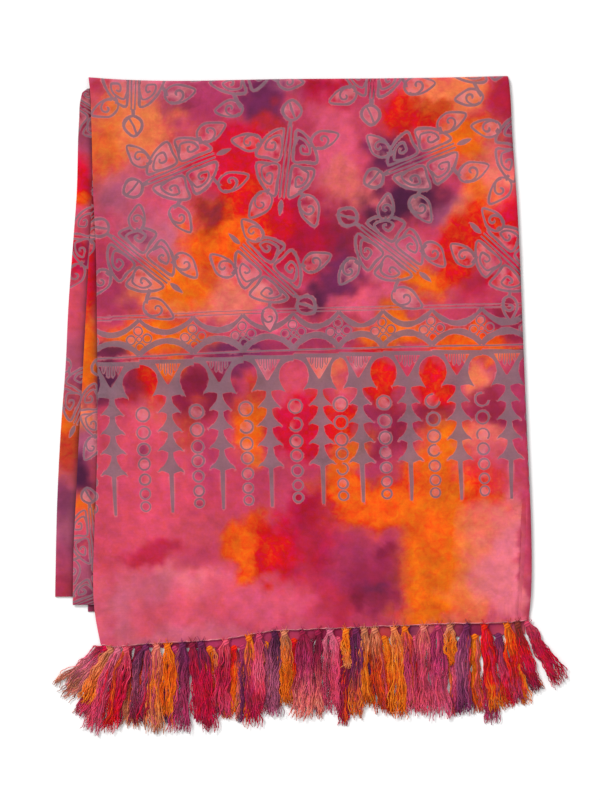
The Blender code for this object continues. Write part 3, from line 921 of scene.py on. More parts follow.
    def _dye(self, mesh: bpy.types.Mesh, places: np.ndarray, faces: np.ndarray, inked: np.ndarray) -> None:
        """Writes each corner's colour: dye with any painted shade, tint or print, and the pale rim that the
        wax left.
        """
        x, y = places[:, 0], places[:, 1]
        dyed = self.dye_and_shade.colours(x, y)
        grey, halo, dark = (to_linear(dye.soft) * DEPTH_OF_DYE for dye in (Dye.WAX_GREY, Dye.HALO, Dye.PLUM))
        inked = np.concatenate((inked, np.zeros(len(faces) - len(inked), dtype=int)))
        corner = dyed[faces]
        uneven = np.clip(0.30 + 0.38 * cloud(x, y, 9.0, self.dye_and_shade.seed + 42), 0.0, 0.75)[faces][:, :, None]
        for ink, tint in ((Ink.PALE, halo), (Ink.DEEP, dark)):
            corner = np.where((inked == ink)[:, None, None], corner + (tint - corner) * uneven, corner)
        on_print = np.zeros(len(places), dtype=bool)
        on_print[faces[inked == Ink.GREY].ravel()] = True
        strength = np.clip(0.40 + 0.24 * cloud(x, y, 17.0, self.dye_and_shade.seed + 41), 0.1, 0.75)
        corner = corner + (halo - corner) * (strength * on_print)[faces][:, :, None]
        fade = 1.0 + 0.10 * cloud(x, y, 26.0, self.dye_and_shade.seed + 40)
        tinted = (grey * 0.88 + dyed * 0.12) * fade[:, None]
        corner = np.where((inked == Ink.GREY)[:, None, None], tinted[faces], corner)
        paint(mesh, "CORNER", corner.reshape(-1, 3))


def mesh_object(name: str, places: np.ndarray, faces: np.ndarray) -> bpy.types.Object:
    """Makes a smooth mesh object from triangles.

    Args:
        name: The object's name.
        places: Corners in metres.
        faces: Three corners for each triangle.

    Returns:
        The object, at the origin.
    """
    mesh = bpy.data.meshes.new(name)
    mesh.vertices.add(len(places))
    mesh.vertices.foreach_set("co", places.astype(np.float32).ravel())
    mesh.loops.add(len(faces) * 3)
    mesh.loops.foreach_set("vertex_index", faces.astype(np.int32).ravel())
    mesh.polygons.add(len(faces))
    mesh.polygons.foreach_set("loop_start", np.arange(len(faces), dtype=np.int32) * 3)
    mesh.polygons.foreach_set("loop_total", np.full(len(faces), 3, dtype=np.int32))
    mesh.update(calc_edges=True)
    mesh.validate()
    mesh.shade_smooth()
    piece = bpy.data.objects.new(name, mesh)
    bpy.context.scene.collection.objects.link(piece)
    return piece


class Yarn(NamedTuple):
    """One knotted tassel: its row, places in millimetres, spreads and dyes from root to tip."""

    row: str
    root_x: float
    tip_x: float
    tip_y: float
    bow: float
    belly: float
    tip: float
    root_dye: Dye
    middle_dye: Dye
    tip_dye: Dye


@dataclass(frozen=True)
class FringeRow:
    """The heights of one row of tassels, in millimetres.

    Attributes:
        hem: The hem that the row is tied to.
        knot_z: Height of the knots' middle.
        knot_half: Half the knots' thickness.
        belly_z: Height of the yarn's middle.
        belly_half: Half the yarn's depth at the belly.
        gap: Distance from the hem to the knot.
    """

    hem: EdgeCurve
    knot_z: float
    knot_half: float
    belly_z: float
    belly_half: float
    gap: float


@dataclass
class Fringe:
    """The knotted fringe: a bundle of fine yarns under each knot.

    Attributes:
        rows: The two rows, by name.
        yarns: The tassels from left to right.
        strands: Yarns drawn in each tassel.
        strand_radius: Radius of one yarn, in millimetres.
        yoke: Yarns from the hem into each knot.
        wisps: Short loose ends that stand up over the hem from an upper knot.
        knot_width: Width of a knot.
        knot_length: Length of a knot.
    """

    rows: dict[str, FringeRow]
    yarns: tuple[Yarn, ...]
    strands: int = 70
    strand_radius: float = 0.70
    yoke: int = 7
    wisps: int = 3
    knot_width: float = 8.6
    knot_length: float = 9.4

    STEPS = 27
    LOCKS = 9
    DYE_STOPS = (0.02, 0.42, 0.95)
    STRAY_DYE = 0.65
    OWN_SPREAD = (0.27, 0.42)
    LOCK_SPREAD = (0.82, 0.62)
    YARN_HEIGHTS = (0.70, 7.2)
    KNOT_SEGMENTS = 24
    KNOT_RINGS = 14

    def _root_y(self, yarn: Yarn) -> float:
        """The middle of the knot along y."""
        row = self.rows[yarn.row]
        return row.hem.one(yarn.root_x) - row.gap - self.knot_length / 2.0

    def _middle(self, yarn: Yarn, t: np.ndarray) -> np.ndarray:
        """The bundle's middle line from the knot at 0 to the tips at 1."""
        start, end = complex(yarn.root_x, self._root_y(yarn)), complex(yarn.tip_x, yarn.tip_y)
        way = end - start
        fall = start + way.real * (0.55 * t + 0.45 * t * t) + 1j * way.imag * t
        return fall + 1j * way / abs(way) * yarn.bow * np.sin(math.pi * np.clip(t, 0.0, 1.0))

    def _half_spread(self, yarn: Yarn, t: np.ndarray) -> np.ndarray:
        """Half the bundle's width along it."""
        root = self.knot_width * (0.46 if yarn.row == "upper" else 0.62)
        belly, tip = yarn.belly * 0.72, yarn.tip * 0.72
        upper = root + (belly - root) * eased(t, -0.02, 0.16)
        return np.where(t < 0.5, upper, belly + (tip - belly) * eased(t, 0.5, 1.0))

    @staticmethod
    def _edges(
        line: np.ndarray, side: np.ndarray | float, z: np.ndarray, thick: np.ndarray | float
    ) -> list[np.ndarray]:
        """The three edges of one thin yarn that follows a line."""
        edges = []
        for turn in TUBE_TURNS:
            ring = line + side * thick * math.cos(turn)
            edges.append(np.stack((ring.real, ring.imag, z + thick * math.sin(turn)), axis=1))
        return edges

    def _bundle(self, yarn: Yarn, rng: np.random.Generator) -> tuple[np.ndarray, np.ndarray, np.ndarray]:
        """The yarns of one tassel.

        Args:
            yarn: The tassel.
            rng: Its own repeatable chance.

        Returns:
            Corners in millimetres, triangles, and for each corner its share of the way down and its shade.
        """
        row = self.rows[yarn.row]
        corners, facts = [], []
        locks = [complex(rng.uniform(-1, 1), rng.uniform(-1, 1)) for _ in range(self.LOCKS)]
        sways = rng.uniform(0.0, 2.0 * math.pi, self.LOCKS)
        for strand in range(self.strands):
            lock, phase = locks[strand % self.LOCKS], sways[strand % self.LOCKS]
            angle, out = rng.uniform(0, 2 * math.pi), math.sqrt(rng.uniform(0, 1))
            across, up = out * math.cos(angle), out * math.sin(angle)
            across = self.OWN_SPREAD[0] * across + self.LOCK_SPREAD[0] * lock.real
            up = self.OWN_SPREAD[1] * up + self.LOCK_SPREAD[1] * lock.imag
            t = np.linspace(0.0, 1.0 + rng.uniform(-0.20, 0.04), self.STEPS)
            line = self._middle(yarn, t)
            ahead = np.gradient(line)
            side = 1j * ahead / np.abs(ahead)
            sway = 2.4 * np.sin(7.0 * t + phase) * eased(t, 0.06, 0.45) + 1.0 * np.sin(18.0 * t + 2.0 * phase)
            kinks = np.convolve(rng.normal(0.0, 1.0, self.STEPS + 2), (0.25, 0.5, 0.25), "valid")
            crimp = kinks * (1.35 + 1.1 * eased(t, 0.62, 1.0)) * eased(t, 0.0, 0.12)
            drift = rng.normal(0, 1.3) * eased(t, 0.25, 0.9) + rng.normal(0, 2.6) * eased(t, 0.78, 1.05)
            aside = -across * self._half_spread(yarn, t) + sway * eased(t, 0.0, 0.1) + crimp + drift
            line = line + side * aside
            deep = row.belly_half * np.interp(t, (0.0, 0.12, 0.35, 0.8, 1.0), (0.7, 0.8, 1.0, 0.85, 0.6))
            z = row.knot_z + (row.belly_z - row.knot_z) * eased(t, 0.0, 0.2) + up * deep
            z = z + 0.35 * np.roll(kinks, 3) * eased(t, 0.1, 0.3)
            sink = 0.5 * (row.belly_z - 1.0) * eased(t, 0.8, 1.05) * rng.uniform(0, 1)
            z = np.clip(z - sink, *self.YARN_HEIGHTS)
            thin = np.interp(t, (0, 0.9, 1.0), (1.0, 0.95, 0.7))
            corners += self._edges(line, side, z, self.strand_radius * rng.uniform(0.75, 1.25) * thin)
            facts.append((t + rng.normal(0.0, 0.10), np.full_like(t, rng.uniform(-1.0, 1.0))))
        hem = row.hem.one(yarn.root_x)
        t = np.linspace(0.0, 1.0, self.STEPS)
        for part in np.linspace(-1.0, 1.0, self.yoke) + rng.uniform(-0.12, 0.12, self.yoke):
            across = part * (6.6 * (1.0 - t) ** 1.4 + 1.8 * t) + 0.5 * np.sin(9.0 * t + 5.0 * part)
            line = yarn.root_x + across + 1j * (hem + 1.0 - 8.0 * t)
            z = row.knot_z - 0.6 + 1.0 * np.sin(math.pi * t * 0.7) * (1.0 - abs(part) * 0.4)
            corners += self._edges(line, -1.0, z, self.strand_radius * 0.9)
            facts.append((0.12 * t - 0.1 + rng.normal(0.0, 0.05), np.full_like(t, rng.uniform(-1.0, 0.6))))
        wisps = self.wisps if yarn.row == "upper" else 0
        for part in rng.uniform(-1.0, 1.0, wisps):
            reach = rng.uniform(2.5, 7.5)
            x = yarn.root_x + part * (1.0 + 5.0 * t**1.4) + 0.4 * np.sin(7.0 * t + 4.0 * part)
            line = x + 1j * (hem - 1.5 + (reach + 1.5) * t)
            z = row.knot_z + 1.6 - 0.6 * t
            corners += self._edges(line, -1.0, z, self.strand_radius * (0.7 - 0.3 * t))
            facts.append((0.1 * t, np.full_like(t, rng.uniform(-0.6, 0.6))))
        count = self.strands + self.yoke + wisps
        places = np.array(corners).reshape(count, 3, self.STEPS, 3)
        told = np.repeat(np.array(facts).transpose(0, 2, 1)[:, None], 3, axis=1)
        number = np.arange(count * 3 * self.STEPS).reshape(count, 3, self.STEPS)
        beside = np.roll(number, -1, axis=1)
        a, b = number[:, :, :-1].ravel(), number[:, :, 1:].ravel()
        c, d = beside[:, :, :-1].ravel(), beside[:, :, 1:].ravel()
        tubes = np.concatenate((np.stack((a, b, c), axis=1), np.stack((c, b, d), axis=1)))
        caps = np.concatenate((number[:, :, 0], number[:, ::-1, -1]))
        return places.reshape(-1, 3), np.concatenate((tubes, caps)), told.reshape(-1, 2)

    def _ball(self) -> tuple[np.ndarray, np.ndarray]:
        """Corners and triangles of a ball of radius 1, with its poles at the top and the bottom."""
        turn = np.arange(self.KNOT_SEGMENTS) / self.KNOT_SEGMENTS * 2.0 * math.pi
        down = np.arange(1, self.KNOT_RINGS)[:, None] / self.KNOT_RINGS * math.pi
        rings = np.sin(down) * np.cos(turn), np.sin(down) * np.sin(turn), np.cos(down) + 0.0 * turn
        corners = np.concatenate((np.stack(rings, axis=2).reshape(-1, 3), ((0, 0, 1), (0, 0, -1))))
        number = np.arange(len(corners) - 2).reshape(-1, self.KNOT_SEGMENTS)
        beside = np.roll(number, -1, axis=1)
        a, b, c, d = number[:-1].ravel(), number[1:].ravel(), beside[:-1].ravel(), beside[1:].ravel()
        top, low = (np.full(self.KNOT_SEGMENTS, len(corners) - back) for back in (2, 1))
        fans = ((a, b, d), (a, d, c), (number[0], beside[0], top), (beside[-1], number[-1], low))
        return corners, np.concatenate([np.stack(fan, axis=1) for fan in fans])

    def _knot(self, yarn: Yarn) -> tuple[np.ndarray, np.ndarray, np.ndarray]:
        """The knot of one tassel: a flattened ball with the yarn wound round it.

        Args:
            yarn: The tassel.

        Returns:
            Corners in millimetres, triangles, and for each corner its share of the way down and its shade,
            which is painted shade in the grooves between the wraps.
        """
        local, faces = self._ball()
        around = np.arctan2(local[:, 2], local[:, 0])
        wraps = np.sin(3.0 * around + 8.0 * local[:, 1] + yarn.root_x)
        swell = 1.0 + 0.07 * wraps * (1.0 - np.abs(local[:, 1])) + 0.10 * (1.0 - local[:, 1] ** 2)
        row = self.rows[yarn.row]
        size = np.array((self.knot_width * 0.47, self.knot_length * 0.50, row.knot_half * 1.05))
        places = local * size * swell[:, None]
        places += np.array((yarn.root_x, self._root_y(yarn), row.knot_z))
        places[:, 2] = np.maximum(places[:, 2], 0.1)
        # Painted shade: the knot's colour darkens in the grooves between the turns of yarn and lightens on
        # their ridges.
        return places, faces, np.stack((np.full(len(local), -0.05), wraps * 0.9), axis=1)

    def _shades(self, yarn: Yarn, down: np.ndarray) -> np.ndarray:
        """A tassel's dye at shares of the way down it."""
        dyes = zip(yarn.root_dye.soft, yarn.middle_dye.soft, yarn.tip_dye.soft)
        return np.stack([np.interp(down, self.DYE_STOPS, channel) for channel in dyes], axis=1)

    def build(self, number: int, yarn: Yarn) -> bpy.types.Object:
        """Makes one tassel with its dye.

        Args:
            number: Its number, from the left.
            yarn: Its facts.

        Returns:
            The tassel's object.
        """
        rng = np.random.default_rng(500 + number)
        places, faces, told = self._bundle(yarn, rng)
        knot_places, knot_faces, knot_told = self._knot(yarn)
        faces = np.concatenate((faces, knot_faces + len(places)))
        places = np.concatenate((places, knot_places))
        told = np.concatenate((told, knot_told))
        piece = mesh_object(f"yarn_{number:02d}", places * MM, faces)
        soft, stray = (
            self._shades(kind, told[:, 0]) for kind in (yarn, self.yarns[(number * 7) % len(self.yarns)])
        )
        strand = np.arange(len(places)) // (3 * self.STEPS)
        apart = (strand % self.LOCKS == number % self.LOCKS) & (strand < self.strands)
        soft = soft + (stray - soft) * np.where(apart, self.STRAY_DYE, 0.0)[:, None]
        # For the yarns this is each strand's own tone; for the knots it carries the painted shade between the
        # wraps.
        shade = 1.06 + 0.24 * told[:, 1] + 0.10 * cloud(places[:, 0], places[:, 1], 9.0, 90 + number)
        paint(piece.data, "POINT", to_linear(np.clip(soft * shade[:, None], 0.0, 1.0)) * DEPTH_OF_DYE)
        return piece


@dataclass(frozen=True)
class NodeBench:
    """Adds and joins nodes of one material.

    Attributes:
        material: The material.
    """

    material: bpy.types.Material

    def add(self, kind: str, **values: object) -> bpy.types.Node:
        """Adds a node.

        Args:
            kind: The node's type.
            values: Its settings, and with names that start with in_ its input values.

        Returns:
            The node.
        """
        node = self.material.node_tree.nodes.new(kind)
        for name, value in values.items():
            if name.startswith("in_"):
                node.inputs[name[3:].replace("_", " ")].default_value = value
            else:
                setattr(node, name, value)
        return node

    def join(self, start: bpy.types.NodeSocket, end: bpy.types.NodeSocket) -> None:
        """Joins two sockets."""
        self.material.node_tree.links.new(start, end)

    def texture(self, kind: str, place: bpy.types.NodeSocket, **values: object) -> bpy.types.NodeSocket:
        """Adds a texture that is read at a place.

        Args:
            kind: Its name after ShaderNodeTex.
            place: The place.
            values: As for any node.

        Returns:
            Its strength.
        """
        node = self.add(f"ShaderNodeTex{kind}", **values)
        self.join(place, node.inputs["Vector"])
        return node.outputs["Fac"]

    def ranged(self, source: bpy.types.NodeSocket, *limits: float) -> bpy.types.NodeSocket:
        """Maps a value.

        Args:
            source: The value.
            limits: The two ends that it comes from and the two that it goes to.

        Returns:
            The mapped value.
        """
        node = self.add("ShaderNodeMapRange")
        for name, value in zip(("From Min", "From Max", "To Min", "To Max"), limits):
            node.inputs[name].default_value = value
        self.join(source, node.inputs["Value"])
        return node.outputs["Result"]

    def reckon(self, operation: str, *values: bpy.types.NodeSocket | float) -> bpy.types.NodeSocket:
        """Adds one step of arithmetic.

        Args:
            operation: Its name.
            values: Sockets or numbers.

        Returns:
            The result.
        """
        node = self.add("ShaderNodeMath", operation=operation)
        for value, socket in zip(values, node.inputs):
            if isinstance(value, float):
                socket.default_value = value
            else:
                self.join(value, socket)
        return node.outputs["Value"]


@dataclass(frozen=True)
class DyedFinish:
    """Dyed fibre: the dye layer with blotches, slubs and a thread pattern.

    Attributes:
        name: The material's name.
        thread: Distance between threads, in metres.
        weave: How strongly the threads show as relief.
        mottle: How much the dye varies in strength.
        rough: Roughness.
        sheen: Strength of the soft sheen.
    """

    name: str
    thread: float
    weave: float
    mottle: float
    rough: float
    sheen: float

    BLOTCHES = ((38.0, (1, 1, 1), 1.0), (260.0, (1, 1, 1), 0.7), (150.0, (0.35, 9, 1), 0.55))
    NOISE_ENDS = (0.3, 0.7)
    HUES = (0.486, 0.506)
    SATURATION = 1.05
    THREADS_PER_WAVE = 20.0
    WEAVE_DEPTH = 0.00012
    RUMPLE_DEPTH = 0.0009

    def make(self) -> bpy.types.Material:
        """Makes the material.

        Returns:
            The material, which reads the dye layer and Object coordinates.
        """
        material = bpy.data.materials.new(self.name)
        material.use_nodes = True
        bench = NodeBench(material)
        shader = material.node_tree.nodes["Principled BSDF"]
        for name, value in (
            ("Roughness", self.rough),
            ("Sheen Weight", self.sheen),
            ("Sheen Roughness", 0.45),
            ("Specular IOR Level", 0.16),
        ):
            shader.inputs[name].default_value = value
        place = bench.add("ShaderNodeTexCoord").outputs["Object"]
        dye = bench.add("ShaderNodeAttribute", attribute_name=DYE_LAYER)
        shade = None
        for scale, stretch, depth in self.BLOTCHES:
            turn = bench.add("ShaderNodeMapping", in_Scale=stretch)
            bench.join(place, turn.inputs["Vector"])
            blot = bench.texture(
                "Noise", turn.outputs["Vector"], in_Scale=scale, in_Detail=5.0, in_Roughness=0.6
            )
            swing = self.mottle * depth
            level = bench.ranged(blot, *self.NOISE_ENDS, 1.0 - swing, 1.0 + swing)
            shade = level if shade is None else bench.reckon("MULTIPLY", shade, level)
        tone = bench.texture(
            "Noise", place, in_Scale=95.0, in_Detail=6.0, in_Roughness=0.65, in_Distortion=0.8
        )
        drifted = bench.add("ShaderNodeHueSaturation", in_Saturation=self.SATURATION)
        bench.join(bench.ranged(tone, *self.NOISE_ENDS, *self.HUES), drifted.inputs["Hue"])
        bench.join(dye.outputs["Color"], drifted.inputs["Color"])
        ridge = bench.texture(
            "Noise", place, in_Scale=17.0, in_Detail=5.0, in_Roughness=0.62, in_Distortion=0.5
        )
        near = bench.reckon("ABSOLUTE", bench.reckon("SUBTRACT", ridge, 0.5))
        vein = bench.ranged(near, 0.0, 0.05, 1.5 * self.mottle, 0.0)
        patch = bench.ranged(bench.texture("Noise", place, in_Scale=9.0, in_Detail=2.0), 0.48, 0.60, 0.0, 1.0)
        shade = bench.reckon("SUBTRACT", shade, bench.reckon("MULTIPLY", vein, patch))
        mixed = bench.add("ShaderNodeVectorMath", operation="SCALE")
        bench.join(drifted.outputs["Color"], mixed.inputs[0])
        bench.join(shade, mixed.inputs["Scale"])
        bench.join(mixed.outputs["Vector"], shader.inputs["Base Color"])
        close = 2.0 * math.pi / (self.THREADS_PER_WAVE * self.thread)
        threads = (
            bench.texture(
                "Wave", place, bands_direction=way, in_Distortion=1.2, in_Detail=1.0, in_Scale=close
            )
            for way in "XY"
        )
        relief = bench.add("ShaderNodeBump", in_Strength=self.weave, in_Distance=self.WEAVE_DEPTH)
        bench.join(bench.reckon("ADD", *threads), relief.inputs["Height"])
        soft = bench.add("ShaderNodeBump", in_Strength=0.22, in_Distance=self.RUMPLE_DEPTH)
        bench.join(bench.texture("Noise", place, in_Scale=55.0, in_Detail=4.0), soft.inputs["Height"])
        bench.join(relief.outputs["Normal"], soft.inputs["Normal"])
        bench.join(soft.outputs["Normal"], shader.inputs["Normal"])
        return material


@dataclass(frozen=True)
class Studio:
    """A pale floor, soft light from the upper left and a camera straight above.

    Attributes:
        height: Distance of the camera from the rest plane, in metres.
        view_length: How much of the floor the longer side of the view takes in, in metres.
        key: Strength of the soft key light.
        key_angle: How wide the key light spreads, in degrees.
        fill: Strength of the even light from all round.
    """

    height: float = 4.0
    view_length: float = 1.088
    key: float = 2.3
    key_angle: float = 20.0
    fill: float = 0.74

    FLOOR_SIZE = 80.0
    FLOOR_DROP = 0.0002
    KEY_TURN = (-38.0, -40.0, 0.0)

    def build(self) -> None:
        """Makes the floor, the lights and the camera."""
        bpy.ops.object.select_all(action="DESELECT")
        bpy.ops.mesh.primitive_plane_add(size=self.FLOOR_SIZE, location=(0.0, 0.0, -self.FLOOR_DROP))
        floor = bpy.context.active_object
        floor.name = "pale_floor"
        bpy.ops.object.transform_apply(location=True, rotation=False, scale=False)
        paper = bpy.data.materials.new("pale paper")
        paper.use_nodes = True
        shader = paper.node_tree.nodes["Principled BSDF"]
        shader.inputs["Base Color"].default_value = (0.93, 0.93, 0.93, 1.0)
        shader.inputs["Roughness"].default_value = 0.9
        shader.inputs["Specular IOR Level"].default_value = 0.1
        floor.data.materials.append(paper)
        world = bpy.data.worlds.new("studio")
        world.use_nodes = True
        sky = world.node_tree.nodes["Background"]
        sky.inputs["Color"].default_value = (1.0, 1.0, 1.0, 1.0)
        sky.inputs["Strength"].default_value = self.fill
        bpy.context.scene.world = world
        bpy.ops.object.light_add(type="SUN", rotation=[math.radians(turn) for turn in self.KEY_TURN])
        key = bpy.context.active_object
        key.data.energy = self.key
        key.data.angle = math.radians(self.key_angle)
        aim = spot(VIEW_WIDTH / 2.0, VIEW_HEIGHT / 2.0) * MM
        bpy.ops.object.camera_add(location=(aim.real, aim.imag, self.height), rotation=(0.0, 0.0, 0.0))
        camera = bpy.context.active_object
        camera.data.sensor_width = 36.0
        camera.data.lens = camera.data.sensor_width * self.height / self.view_length
        camera.data.clip_end = 50.0
        bpy.context.scene.camera = camera
        bpy.context.scene.view_settings.view_transform = "Standard"


FRONT_LEFT = EdgeCurve(
    ((439, -301), (423, -299), (379, -297), (283, -294.5), (194, -290.5), (121, -289.5), (8, -288.5),
     (-110, -290), (-200, -293.5), (-239, -294.5), (-288, -292.5), (-313, -288.5), (-334, -284))
)
FRONT_RIGHT = EdgeCurve(
    ((441, 268.5), (436, 270.0), (428, 271.0), (359, 275.0), (268, 281.5), (190, 285.5), (99, 289),
     (-56, 295.5), (-140, 299.5), (-189, 301), (-270, 300), (-299, 297.5))
)
FRONT_TOP = EdgeCurve(((-302, 439), (-270, 436.5), (-238, 435), (-27, 436.5), (180, 438.5), (266, 440.5)))
FRONT_HEM = EdgeCurve(
    ((-285, -333), (-268, -336), (-237, -333), (-150, -328), (-113, -324.5), (-52, -314.5), (14, -311.5),
     (86, -308.5), (186, -304.5), (275, -302), (298, -299))
)
UNDER_HEM = EdgeCurve(
    ((-285, -336), (-150, -337), (-106, -336.5), (-27, -327), (54, -324), (190, -322), (292, -318))
)
OUTER_LEFT = EdgeCurve(
    ((423, -303), (419, -308.5), (410, -311.5), (379, -314), (276, -317.5), (209, -322.5), (128, -328.5),
     (52, -332), (-43, -339), (-132, -343.5), (-261, -346.5))
)
INNER_LEFT = EdgeCurve(
    ((423, -300), (378, -297), (239, -298), (166, -302), (91, -306), (23, -309.5), (-52, -314),
     (-132, -318), (-209, -321.5), (-272, -322.5))
)
TUCKED_LEFT = EdgeCurve(((400, -290), (0, -286), (-230, -300), (-282, -302)))
BORDER_ENDS = (84.0, 540.0)
BACK_LINE = 2.7

FRONT_CREASES = (
    Crease(291, -140, 284, -306, 2.8, -1.9),
    Crease(285, -180, 278, -303, 3.6, 1.0),
    Crease(296, -60, 295, -250, 3.0, 0.6),
    Crease(-264, -262, -259, -330, 8.0, -0.8),
    Crease(-283, -300, -276, -324, 5.0, 0.7),
    Crease(-120, -236, 40, -214, 9.0, 0.4),
    Crease(-60, 118, 170, 112, 10.0, 0.35),
    Crease(150, 330, 262, 352, 9.0, 0.35),
)

